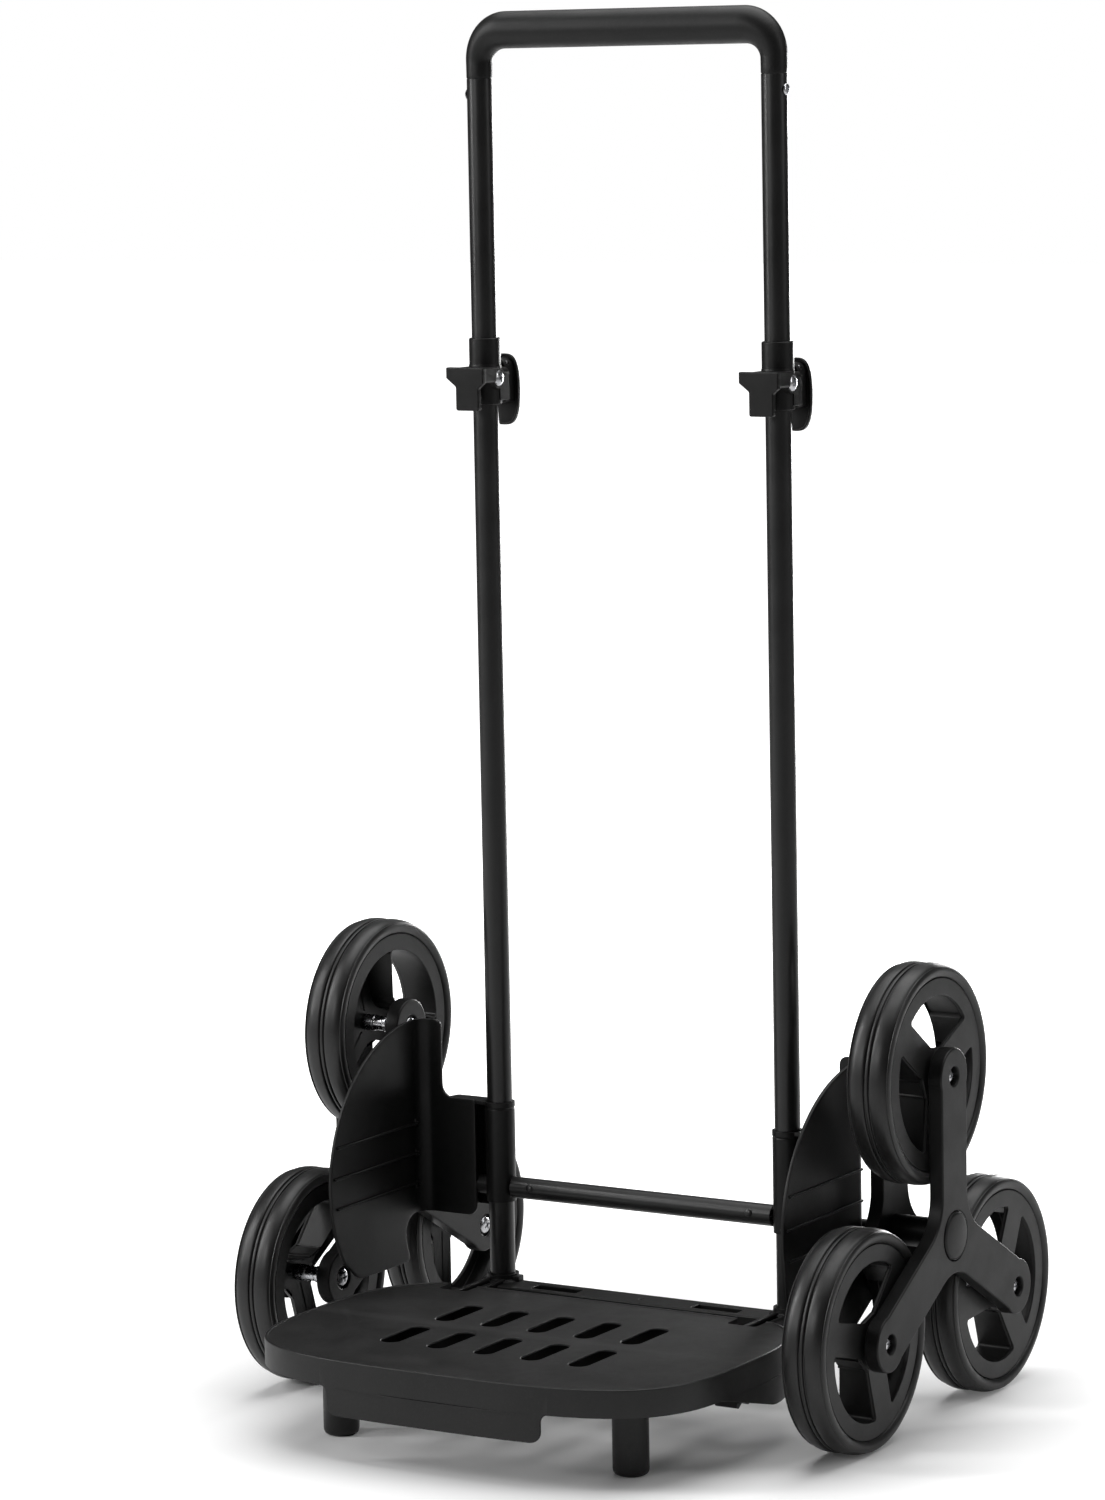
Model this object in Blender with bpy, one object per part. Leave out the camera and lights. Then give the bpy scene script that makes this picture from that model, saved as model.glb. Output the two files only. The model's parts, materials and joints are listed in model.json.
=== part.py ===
"""Stair climbing trolley: folding platform, telescopic handle and two three-wheel clusters.

Metres, +Z up, X to the side, the platform towards -Y. The origin is on the floor under
the middle of the trolley. The empty "frame_root" stands on the floor under the plane of
the two uprights, and every piece is placed from it.
"""
import math

import bmesh
import bpy
from mathutils import Matrix, Vector

GAP = 0.0003                      # clearance between touching pieces

# uprights and crossbar
TUBE_X = 0.1235                   # half the distance between the uprights
TUBE_R = 0.0095
TUBE_WALL = 0.0012
SPIGOT_R = 0.0079                 # reduced end of the handle tubes
TUBE_FOOT_Z = 0.0463
SPLIT_Z = 0.758                   # where the handle tubes meet the lower tubes
SEAM_Z = 0.9665                   # where the grip meets the handle tubes
SPIGOT_LENGTH = 0.170
CROSSBAR_R = 0.0080
CROSSBAR_HALF = 0.1118

# wheels and clusters
AXLE_Z = 0.138                    # centre of a cluster
HUB_CIRCLE = 0.116                # cluster centre to wheel centre
WHEEL_R = 0.080
TYRE_HALF = 0.017
ROUND = 32                        # facets round a wheel
RIM_R = 0.0695
RIM_HALF = 0.016
CLUSTER_X = 0.2305                # middle plane of a cluster
BRACKET_IN = 0.0185               # bracket faces, from the cluster's middle plane
BRACKET_OUT = 0.0295
ARM_HALF = 0.0190
ARM_END_R = 0.0205
AXLE_R = 0.0040
BORE_R = 0.0044
SPOKE_HALF = 0.0120
# direction of one spoke of each wheel, seen from the right, in degrees
SPOKE_ANGLE = {"right_top": 144, "right_front": 166, "right_rear": 184,
               "left_top": 105, "left_front": 168, "left_rear": 150}

# wheel guards
GUARD_WALL = 0.0030
GUARD_X = 0.1905                  # side panel
GUARD_Y = -0.0058                 # rear panel, in front of the main axle
GUARD_BEND = 0.0120
GUARD_LOW = 0.0815
GUARD_TOP = 0.2625
SHELF_Z = 0.2035                  # top of the rear panel beside the upright
PANEL_END_X = 0.1411
TAB_X = 0.1706                    # inner edge of the raised tab
RIB_LEVELS = (0.183, 0.160, 0.137)

# platform
PLATE_TOP = 0.0735
PLATE_THICK = 0.0030
RIM_DEPTH = 0.0200
SKIRT_THICK = 0.0026
PLATE_HALF = 0.182
PLATE_MID_Y = -0.170              # where the platform is widest
PLATE_FRONT = 0.128               # widest line to the front edge
PLATE_REAR = 0.135
PLATE_REAR_Y = -0.055             # straight rear edge
PLATE_POWER = 3.4                 # squareness of the outline
APRON_HALF = 0.088
APRON_Z = 0.033
# lower edge of the side skirts: (y, z) from the front to the rear
WING = ((-0.2050, 0.0535), (-0.1700, 0.0445), (-0.1500, 0.0395), (-0.1280, 0.0340),
        (-0.1150, 0.0332), (-0.0950, 0.0332), (-0.0900, 0.0400))
SLOT_ROWS = (-0.1330, -0.2055)
SLOT_PITCH = 0.0392
SLOT_HALF = 0.0078                # half width of a slot
SLOT_REACH = 0.0262               # half length of a slot
HINGE_Y = -0.060
HINGE_Z = 0.0625
HINGE_PIN_R = 0.0030
FOOT_X = 0.121
FOOT_Y = -0.227
FOOT_R = 0.0130

# clamps at the top of the lower tubes
CLAMP_LOW = 0.7275
CLAMP_TOP = 0.7765
CLAMP_R = 0.0120
LEVER_Y = 0.0180                  # lever pivot
LEVER_Z = 0.7570
SCREW_Z = 0.7470

# grip
GRIP_TOP = 1.0150
GRIP_BAR_R = 0.0136

FRONT_REACH = PLATE_FRONT - PLATE_MID_Y
REAR_REACH = HUB_CIRCLE * math.cos(math.radians(30)) + WHEEL_R
TUBE_Y = (FRONT_REACH - REAR_REACH) / 2

SIDES = (("left", -1), ("right", 1))
WHEELS = (("top", 90), ("front", 210), ("rear", 330))


# ---------------------------------------------------------------- scene helpers

def clear_scene():
    for item in list(bpy.data.objects):
        bpy.data.objects.remove(item, do_unlink=True)


def material(name, colour, roughness, metallic=0.0):
    found = bpy.data.materials.get(name)
    if found:
        return found
    made = bpy.data.materials.new(name)
    made.use_nodes = True
    shader = made.node_tree.nodes["Principled BSDF"]
    shader.inputs["Base Color"].default_value = (*colour, 1)
    shader.inputs["Roughness"].default_value = roughness
    shader.inputs["Metallic"].default_value = metallic
    return made


def plastic():
    return material("black_plastic", (0.022, 0.022, 0.023), 0.55)


def paint():
    return material("black_tube_paint", (0.020, 0.020, 0.021), 0.35)


def rubber():
    return material("tyre_rubber", (0.018, 0.018, 0.018), 0.60)


def steel():
    return material("zinc_steel", (0.62, 0.62, 0.64), 0.28, 1.0)


def empty(name, parent=None, place=(0, 0, 0), turn=0.0):
    made = bpy.data.objects.new(name, None)
    bpy.context.collection.objects.link(made)
    made.parent = parent
    made.location = place
    made.rotation_euler = (0, 0, turn)
    return made


def add(name, bm, look, parent, place=(0, 0, 0), turn=(0, 0, 0)):
    bmesh.ops.recalc_face_normals(bm, faces=bm.faces)
    mesh = bpy.data.meshes.new(name)
    bm.to_mesh(mesh)
    bm.free()
    mesh.shade_smooth()
    mesh.set_sharp_from_angle(angle=math.radians(35))
    if look:
        mesh.materials.append(look)
    made = bpy.data.objects.new(name, mesh)
    bpy.context.collection.objects.link(made)
    made.parent = parent
    made.location = place
    made.rotation_euler = turn
    return made


def combine(target, bm, operation):
    """Union or cut a bmesh, drawn in the target's own axes, into the target."""
    cutter = add(target.name + "_tool_" + str(len(target.modifiers)), bm, None, target)
    cutter.hide_render = True
    cutter.display_type = "WIRE"
    step = target.modifiers.new(operation.lower(), "BOOLEAN")
    step.operation = operation
    step.object = cutter
    step.solver = "EXACT"


def join(target, bm):
    combine(target, bm, "UNION")


def cut(target, bm):
    combine(target, bm, "DIFFERENCE")


# ---------------------------------------------------------------- shape helpers

AXIS_TURN = {
    "Z": Matrix.Identity(4),
    "X": Matrix(((0, 0, 1, 0), (1, 0, 0, 0), (0, 1, 0, 0), (0, 0, 0, 1))),
    "Y": Matrix(((1, 0, 0, 0), (0, 0, -1, 0), (0, 1, 0, 0), (0, 0, 0, 1))),
}


def prism(outline, low, high, axis="Z", bm=None):
    """Extrude a 2D outline from low to high.

    Axis Z takes (x, y) points, axis X takes (y, z) points and axis Y takes (x, z)
    points with low and high measured along -Y.
    """
    bm = bm or bmesh.new()
    base = [bm.verts.new((u, v, low)) for u, v in outline]
    face = bm.faces.new(base)
    grown = bmesh.ops.extrude_face_region(bm, geom=[face])
    top = [item for item in grown["geom"] if isinstance(item, bmesh.types.BMVert)]
    bmesh.ops.translate(bm, verts=top, vec=(0, 0, high - low))
    bmesh.ops.transform(bm, matrix=AXIS_TURN[axis], verts=base + top)
    return bm


def box(low, high, bm=None):
    corners = ((low[0], low[1]), (high[0], low[1]), (high[0], high[1]), (low[0], high[1]))
    return prism(corners, low[2], high[2], "Z", bm)


def arc(centre, radius, start, end, steps):
    """Points of an arc, angles in degrees."""
    points = []
    for i in range(steps + 1):
        angle = math.radians(start + (end - start) * i / steps)
        points.append((centre[0] + radius * math.cos(angle), centre[1] + radius * math.sin(angle)))
    return points


def circle(centre, radius, steps):
    return arc(centre, radius, 0, 360, steps)[:-1]


def rod(radius, low, high, axis="Z", centre=(0, 0), steps=24, bm=None):
    return prism(circle(centre, radius, steps), low, high, axis, bm)


def lathe(profile, steps, axis="Z"):
    """Turn a closed (radius, height) profile into a ring."""
    bm = bmesh.new()
    rings = []
    for i in range(steps):
        angle = 2 * math.pi * i / steps
        ring = [bm.verts.new((r * math.cos(angle), r * math.sin(angle), h)) for r, h in profile]
        rings.append(ring)
    count = len(profile)
    for i in range(steps):
        here, there = rings[i], rings[(i + 1) % steps]
        for j in range(count):
            k = (j + 1) % count
            bm.faces.new((here[j], there[j], there[k], here[k]))
    bmesh.ops.transform(bm, matrix=AXIS_TURN[axis], verts=bm.verts)
    return bm


def turned(profile, steps, axis="Z"):
    """Turn an open (radius, height) profile into a solid, closed by flat ends."""
    bm = bmesh.new()
    rings = []
    for radius, height in profile:
        ring = []
        for i in range(steps):
            angle = 2 * math.pi * i / steps
            ring.append(bm.verts.new((radius * math.cos(angle), radius * math.sin(angle), height)))
        rings.append(ring)
    for here, there in zip(rings, rings[1:]):
        for i in range(steps):
            k = (i + 1) % steps
            bm.faces.new((here[i], here[k], there[k], there[i]))
    bm.faces.new(rings[0])
    bm.faces.new(rings[-1])
    bmesh.ops.transform(bm, matrix=AXIS_TURN[axis], verts=bm.verts)
    return bm


def moved(bm, place):
    bmesh.ops.translate(bm, verts=bm.verts, vec=Vector(place))
    return bm


# ---------------------------------------------------------------- base

def base_rail(root):
    """Cross rail with a socket for each upright and a pair of hinge ears in front of it."""
    rail = add("base_rail", box((-0.115, -0.024, 0.044), (0.115, 0.003, 0.0665)), plastic(), root)
    for _, side in SIDES:
        x = side * TUBE_X
        join(rail, rod(0.0155, 0.040, 0.0715, centre=(x, 0), steps=20))
        for offset in (-0.0055, 0.0055):
            ear = arc((HINGE_Y, HINGE_Z), 0.0065, 90, 270, 6) + [(-0.006, 0.056), (-0.006, 0.069)]
            join(rail, prism(ear, x + offset - 0.0025, x + offset + 0.0025, "X"))
    for _, side in SIDES:
        x = side * TUBE_X
        cut(rail, rod(TUBE_R + GAP, TUBE_FOOT_Z - GAP, 0.080, centre=(x, 0), steps=20))
        cut(rail, rod(HINGE_PIN_R + GAP, x - 0.010, x + 0.010, "X", (HINGE_Y, HINGE_Z), 12))
        low, high = sorted((side * 0.052, side * 0.090))
        cut(rail, box((low, -0.017, 0.0585), (high, -0.006, 0.070)))


def lower_tube(name, side, root):
    inner = TUBE_R - TUBE_WALL
    profile = ((TUBE_R, SPLIT_Z), (TUBE_R, TUBE_FOOT_Z), (inner, TUBE_FOOT_Z), (inner, SPLIT_Z))
    tube = add("lower_tube_" + name, lathe(profile, 20), paint(), root, (side * TUBE_X, 0, 0))
    cut(tube, rod(BORE_R, -0.02, 0.02, "X", (0, AXLE_Z), 12))
    cut(tube, rod(0.0023, 0.001, 0.02, "X", (-0.002, SCREW_Z), 8))


def crossbar(root):
    inner = CROSSBAR_R - 0.0015
    profile = ((CROSSBAR_R, CROSSBAR_HALF), (CROSSBAR_R, -CROSSBAR_HALF),
               (inner, -CROSSBAR_HALF), (inner, CROSSBAR_HALF))
    bar = add("crossbar", lathe(profile, 20, "X"), paint(), root, (0, 0, AXLE_Z))
    for name, side in SIDES:
        x = side * 0.094
        cut(bar, rod(0.0015, 0.003, 0.012, "Y", (x, -0.002), 8))
        head = ((0.0011, 0.0066), (0.0011, CROSSBAR_R + 0.0002), (0.0025, CROSSBAR_R + 0.0002),
                (0.0018, CROSSBAR_R + 0.0012))
        rivet = turned(head, 8, "Y")
        add("crossbar_rivet_" + name, rivet, steel(), root, (x, 0, AXLE_Z - 0.002))


def main_axle(root):
    """Steel rod through the crossbar, both uprights and both clusters."""
    reach = CLUSTER_X + 0.0268
    add("main_axle", rod(AXLE_R, -reach, reach, "X", steps=12), steel(), root, (0, 0, AXLE_Z))
    for name, side in SIDES:
        start = CLUSTER_X + 0.0246
        ring = ((0.0080, start + 0.0014), (0.0080, start), (0.0043, start), (0.0043, start + 0.0014))
        clip = add("axle_clip_" + name, lathe(ring, 12, "X"), steel(), root, (0, 0, AXLE_Z))
        clip.rotation_euler = (0, 0, 0 if side > 0 else math.pi)


def strip(points, thick):
    """Closed outline of a thin wall that follows a line of (x, y) points."""
    left, right = [], []
    for i, point in enumerate(points):
        before = Vector(points[max(i - 1, 0)])
        after = Vector(points[min(i + 1, len(points) - 1)])
        along = (after - before).normalized()
        across = Vector((-along.y, along.x)) * thick / 2
        left.append(tuple(Vector(point) + across))
        right.append(tuple(Vector(point) - across))
    return left + right[::-1]


def guard(name, side, root):
    """Moulded wheel guard: a sleeve on the upright, a rear panel and a bent side panel."""
    front_y = GUARD_Y - GUARD_BEND
    line = [(GUARD_X, -0.136), (GUARD_X, -0.070)]
    line += arc((GUARD_X - GUARD_BEND, front_y), GUARD_BEND, 0, 90, 6)
    line += [(PANEL_END_X, GUARD_Y)]
    panel = add("guard_" + name, prism(strip(line, GUARD_WALL), GUARD_LOW, GUARD_TOP), plastic(), root)

    # curved front edge: everything in front of it is cut away
    upper = arc((0, 0), 1, 180, 92, 12)
    front = [(-0.012 + 0.120 * u, 0.150 + 0.1125 * v) for u, v in upper]
    lower = [(-0.132 + 0.0155 * t * t, 0.150 - 0.063 * t) for t in (1.0, 0.8, 0.6, 0.4, 0.2)]
    tip = [(-0.100, 0.080), (-0.109, 0.0825)]
    outside = [(-0.012, 0.280), (-0.160, 0.280), (-0.160, 0.070), (-0.100, 0.070)]
    cut(panel, prism(outside + tip + lower + front, 0.150, 0.200, "X"))

    # arch over the platform hinge, rounded at its front corner
    arch = [(-0.0370, 0.070)] + arc((-0.0180, 0.0955), 0.0190, 180, 90, 6)
    arch += [(0.020, 0.1145), (0.020, 0.070)]
    cut(panel, prism(arch, 0.130, 0.200, "X"))

    # upper inner corner of the rear panel, with a concave fillet
    corner = 0.010
    notch = [(0.130, 0.270), (0.130, SHELF_Z)]
    notch += arc((TAB_X - corner, SHELF_Z + corner), corner, 270, 360, 6) + [(TAB_X, 0.270)]
    cut(panel, prism(notch, -0.020, 0.020, "Y"))

    # recessed web and top shelf to the sleeve, and the sleeve itself
    join(panel, box((0.1280, 0.0048, 0.1215), (0.1480, 0.0072, 0.2015)))
    join(panel, box((0.1455, -0.0060, 0.1215), (0.1480, 0.0072, 0.2015)))
    join(panel, box((0.1280, -0.0070, 0.1998), (0.1690, 0.0090, 0.2030)))
    join(panel, rod(0.0113, 0.127, 0.203, centre=(TUBE_X, 0), steps=20))

    # stiffening ribs on the inside of the side panel and fins behind the bend
    for rib_z in RIB_LEVELS:
        join(panel, box((0.1873, -0.110, rib_z - 0.001), (0.1895, front_y + 0.0035, rib_z + 0.001)))
    for fin_z in RIB_LEVELS[:2]:
        join(panel, box((0.1620, -0.0050, fin_z - 0.001), (0.1800, 0.0055, fin_z + 0.001)))

    cut(panel, rod(TUBE_R + GAP, 0.120, 0.210, centre=(TUBE_X, 0), steps=20))
    cut(panel, rod(BORE_R + GAP, 0.100, 0.200, "X", (0, AXLE_Z), 12))
    if side < 0:
        mirror_x(panel)


def mirror_x(panel):
    """Turn a right-hand piece and its tools into the left-hand one."""
    for item in [panel, *panel.children]:
        mesh = item.data
        mesh.transform(Matrix.Scale(-1, 4, (1, 0, 0)))
        mesh.flip_normals()


# ---------------------------------------------------------------- clamps and levers

def clamp(name, side, root):
    """Collar on top of a lower tube, with a bag hook in front and lever ears behind."""
    place = (side * TUBE_X, 0, 0)
    collar = add("clamp_" + name, rod(CLAMP_R, CLAMP_LOW, CLAMP_TOP, steps=20), plastic(), root, place)
    hook = [(-0.0165, 0.7555), (-0.0165, 0.7465), (-0.0085, 0.7415), (-0.0085, 0.7265)]
    hook += [(-0.0065, 0.7240), (0.0065, 0.7240), (0.0085, 0.7265)]
    hook += [(0.0085, 0.7415), (0.0165, 0.7465), (0.0165, 0.7555)]
    join(collar, prism(hook, 0.0235, 0.0275, "Y"))
    join(collar, box((-0.0085, -0.0250, 0.7425), (0.0085, -0.0090, 0.7550)))
    ear_r = 0.0056
    ear = arc((LEVER_Y, LEVER_Z), ear_r, -90, 90, 6)
    ear += [(0.0085, LEVER_Z + ear_r), (0.0085, LEVER_Z - ear_r)]
    for offset in (-0.0068, 0.0068):
        join(collar, prism(ear, offset - 0.0017, offset + 0.0017, "X"))
    join(collar, rod(0.0070, 0.0070, 0.0130, "X", (-0.002, SCREW_Z), 14))
    cut(collar, rod(TUBE_R + GAP, 0.700, 0.800, steps=20))
    cut(collar, rod(0.0018, -0.010, 0.010, "X", (LEVER_Y, LEVER_Z), 8))
    cut(collar, rod(0.0023, 0.001, 0.020, "X", (-0.002, SCREW_Z), 8))

    head = ((0.0020, 0.0086), (0.0020, 0.0133), (0.0060, 0.0133), (0.0040, 0.0156))
    add("clamp_screw_" + name, turned(head, 12, "X"), steel(), root,
        (side * TUBE_X, -0.002, SCREW_Z))
    add("lever_pin_" + name, rod(0.0015, -0.0085, 0.0085, "X", steps=8), steel(), root,
        (side * TUBE_X, LEVER_Y, LEVER_Z))


def release_lever(name, side, root):
    """Oval thumb pad with a cam block between the clamp's ears, drawn from its pivot."""
    half_x, half_z, centre_z = 0.0132, 0.0265, -0.0200
    oval = []
    for i in range(24):
        angle = 2 * math.pi * i / 24
        c, s = math.cos(angle), math.sin(angle)
        x = half_x * math.copysign(abs(c) ** 0.8, c)
        z = half_z * math.copysign(abs(s) ** 0.8, s)
        oval.append((x, centre_z + z))
    lever = add("release_lever_" + name, prism(oval, -0.0103, -0.0063, "Y"), plastic(), root,
                (side * TUBE_X, LEVER_Y, LEVER_Z))
    block = [(0.0080, 0.0050)] + arc((0, 0), 0.0052, 75, 180, 8)
    block += [(-0.0052, -0.0240), (-0.0010, -0.0280), (0.0080, -0.0290)]
    join(lever, prism(block, -0.0046, 0.0046, "X"))
    cut(lever, rod(0.0018, -0.010, 0.010, "X", steps=8))


# ---------------------------------------------------------------- handle

def handle(root):
    slide = empty("handle_slide", root, (0, 0, SPLIT_Z))
    inner = TUBE_R - TUBE_WALL
    top = SEAM_Z - GAP - SPLIT_Z
    foot = GAP
    profile = ((TUBE_R, top), (TUBE_R, foot), (SPIGOT_R, foot), (SPIGOT_R, -SPIGOT_LENGTH),
               (SPIGOT_R - TUBE_WALL, -SPIGOT_LENGTH), (SPIGOT_R - TUBE_WALL, 0.010), (inner, 0.014),
               (inner, top))
    screw_z = 0.955 - SPLIT_Z
    for name, side in SIDES:
        tube = add("handle_tube_" + name, lathe(profile, 20), paint(), slide, (side * TUBE_X, 0, 0))
        reach = sorted((side * 0.001, side * 0.020))
        cut(tube, rod(0.0023, reach[0], reach[1], "X", (0, screw_z), 8))
        screw = ((0.0020, 0.0030), (0.0020, 0.0097), (0.0042, 0.0097), (0.0030, 0.0114))
        part = add("grip_screw_" + name, turned(screw, 10, "X"), steel(), slide,
                   (side * TUBE_X, 0, screw_z))
        part.rotation_euler = (0, 0, 0 if side > 0 else math.pi)
    grip(slide, screw_z)


def grip(slide, screw_z):
    """U-shaped grip: legs flush with the tubes, swelling into a thicker top bar."""
    bend = 0.0235
    bar_z = GRIP_TOP - GRIP_BAR_R - SPLIT_Z
    seam = SEAM_Z - SPLIT_Z
    stations = [(TUBE_X, seam, 0, 0.0), (TUBE_X, seam + 0.006, 0, 0.04)]
    steps = 6
    for i in range(steps + 1):
        angle = math.radians(90 * i / steps)
        x = TUBE_X - bend + bend * math.cos(angle)
        z = bar_z - bend + bend * math.sin(angle)
        stations.append((x, z, angle, 0.12 + 0.88 * i / steps))
    stations.append((0.030, bar_z, math.pi / 2, 1.0))
    other = [(-x, z, math.pi - angle, swell) for x, z, angle, swell in reversed(stations)]
    bm = bmesh.new()
    rings = []
    count = 16
    for x, z, angle, swell in stations + other:
        blend = swell * swell * (3 - 2 * swell)
        radius = TUBE_R + (GRIP_BAR_R - TUBE_R) * blend
        out = Vector((math.cos(angle), 0, math.sin(angle)))
        ring = []
        for k in range(count):
            turn = 2 * math.pi * k / count
            point = Vector((x, 0, z)) + out * radius * math.cos(turn)
            point.y += radius * math.sin(turn)
            ring.append(bm.verts.new(point))
        rings.append(ring)
    for here, there in zip(rings, rings[1:]):
        for k in range(count):
            n = (k + 1) % count
            bm.faces.new((here[k], here[n], there[n], there[k]))
    bm.faces.new(rings[0])
    bm.faces.new(rings[-1])
    body = add("handle_grip", bm, plastic(), slide)
    for _, side in SIDES:
        join(body, rod(0.0078, seam - 0.038, seam + 0.010, centre=(side * TUBE_X, 0), steps=12))
    for _, side in SIDES:
        reach = sorted((side * (TUBE_X + 0.0010), side * (TUBE_X + 0.020)))
        cut(body, rod(0.0023, reach[0], reach[1], "X", (0, screw_z), 8))


# ---------------------------------------------------------------- platform

def plate_outline(inset, steps=40):
    """Rounded outline of the platform, cut straight along its rear edge."""
    points = []
    for i in range(steps):
        angle = 2 * math.pi * (i + 0.5) / steps
        c, s = math.cos(angle), math.sin(angle)
        power = 2 / PLATE_POWER
        reach = (PLATE_REAR if s > 0 else PLATE_FRONT) - inset
        x = (PLATE_HALF - inset) * math.copysign(abs(c) ** power, c)
        y = PLATE_MID_Y + reach * math.copysign(abs(s) ** power, s)
        points.append((x, y))
    rear = PLATE_REAR_Y - inset
    level = (rear - PLATE_MID_Y) / (PLATE_REAR - inset)
    corner = (PLATE_HALF - inset) * (1 - level ** PLATE_POWER) ** (1 / PLATE_POWER)
    first = next(i for i, p in enumerate(points) if p[1] >= rear)
    before = points[:first]
    after = [p for p in points[first:] if p[1] < rear]
    return before + [(corner, rear), (-corner, rear)] + after


def slot_outline(x, y, half_width, half_length):
    ends = half_length - half_width
    upper = arc((x, y + ends), half_width, 0, 180, 6)
    return upper + arc((x, y - ends), half_width, 180, 360, 6)


def platform(root):
    hinge = empty("platform_fold", root, (0, HINGE_Y, HINGE_Z))
    shift = (0, -HINGE_Y, -HINGE_Z)

    def local(bm):
        return moved(bm, shift)

    under = PLATE_TOP - PLATE_THICK
    rim_z = PLATE_TOP - RIM_DEPTH
    body = add("platform", local(prism(plate_outline(0), APRON_Z, PLATE_TOP)), plastic(), hinge)
    cut(body, local(prism(plate_outline(SKIRT_THICK), APRON_Z - 0.01, under)))

    # the skirt is cut back to the rim, except for the apron in front and the two sides,
    # which deepen towards the rear
    corner = 0.008
    reach = 0.150
    apron = [(-reach, rim_z), (-reach, 0.020), (reach, 0.020), (reach, rim_z), (APRON_HALF, rim_z)]
    apron += arc((APRON_HALF - corner, APRON_Z + corner), corner, 0, -90, 5)
    apron += arc((-APRON_HALF + corner, APRON_Z + corner), corner, -90, -180, 5)
    apron += [(-APRON_HALF, rim_z)]
    cut(body, local(prism(apron, 0.0, 0.32, "Y")))
    below = [(-0.320, 0.020), (-0.020, 0.020), (-0.020, rim_z), (WING[-1][0], rim_z)]
    for _, side in SIDES:
        near, far = sorted((side * (reach - 0.001), side * 0.200))
        cut(body, local(prism(below + list(reversed(WING)) + [(-0.320, rim_z)], near, far, "X")))
    cut(body, local(box((-0.095, -0.280, 0.020), (0.095, -0.040, rim_z))))

    for _, side in SIDES:
        foot = (side * FOOT_X, FOOT_Y)
        join(body, local(rod(FOOT_R + 0.003, rim_z + 0.001, under + 0.001, centre=foot, steps=20)))
        for low, high in ((0.1055, 0.1110), (0.1352, 0.1396)):
            near, far = sorted((side * low, side * high))
            join(body, local(box((near, -0.080, rim_z), (far, PLATE_REAR_Y - 0.001, under + 0.001))))
        near, far = sorted((side * 0.147, side * 0.153))
        join(body, local(box((near, -0.128, 0.026), (far, -0.102, under + 0.001))))

    for _, side in SIDES:
        foot = (side * FOOT_X, FOOT_Y)
        cut(body, local(rod(FOOT_R + GAP, rim_z - 0.01, under - 0.0002, centre=foot, steps=20)))
        near, far = sorted((side * 0.1110, side * 0.1352))
        cut(body, local(box((near, -0.0725, rim_z - 0.01), (far, PLATE_REAR_Y + 0.01, PLATE_TOP + 0.01))))
        near, far = sorted((side * 0.1000, side * 0.1420))
        cut(body, local(rod(HINGE_PIN_R + GAP, near, far, "X", (HINGE_Y, HINGE_Z), 12)))

    slots = bmesh.new()
    for row_y in SLOT_ROWS:
        for column in range(-2, 3):
            outline = slot_outline(column * SLOT_PITCH, row_y, SLOT_HALF, SLOT_REACH)
            prism(outline, under - 0.01, PLATE_TOP + 0.01, "Z", slots)
    cut(body, local(slots))

    foot_top = under - 0.0008
    edge = 0.0035
    profile = ((FOOT_R - edge, 0), (FOOT_R - 0.3 * edge, 0.3 * edge), (FOOT_R, edge), (FOOT_R, foot_top))
    for name, side in SIDES:
        add("foot_" + name, local(moved(turned(profile, 20), (side * FOOT_X, FOOT_Y, 0))), plastic(), hinge)
        near, far = sorted((side * 0.1040, side * 0.1410))
        add("hinge_pin_" + name, rod(HINGE_PIN_R, near, far, "X", steps=12), steel(), root,
            (0, HINGE_Y, HINGE_Z))


# ---------------------------------------------------------------- wheel clusters

def hub_place(angle):
    """(y, z) of a wheel centre in its cluster."""
    turn = math.radians(angle)
    return HUB_CIRCLE * math.cos(turn), HUB_CIRCLE * math.sin(turn)


def bracket_outline():
    """Three arms with round ends, joined by rounded inside corners."""
    points = []
    corner_r = 0.036
    half_gap = math.radians(60)
    fillet_reach = (ARM_HALF + corner_r) / math.sin(half_gap)
    for _, angle in WHEELS:
        y, z = hub_place(angle)
        points += arc((y, z), ARM_END_R, angle - 112, angle + 112, 12)
        middle = angle + 60
        turn = math.radians(middle)
        centre = (fillet_reach * math.cos(turn), fillet_reach * math.sin(turn))
        points += arc(centre, corner_r, middle + 180 + 30, middle + 180 - 30, 4)
    return points


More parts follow.
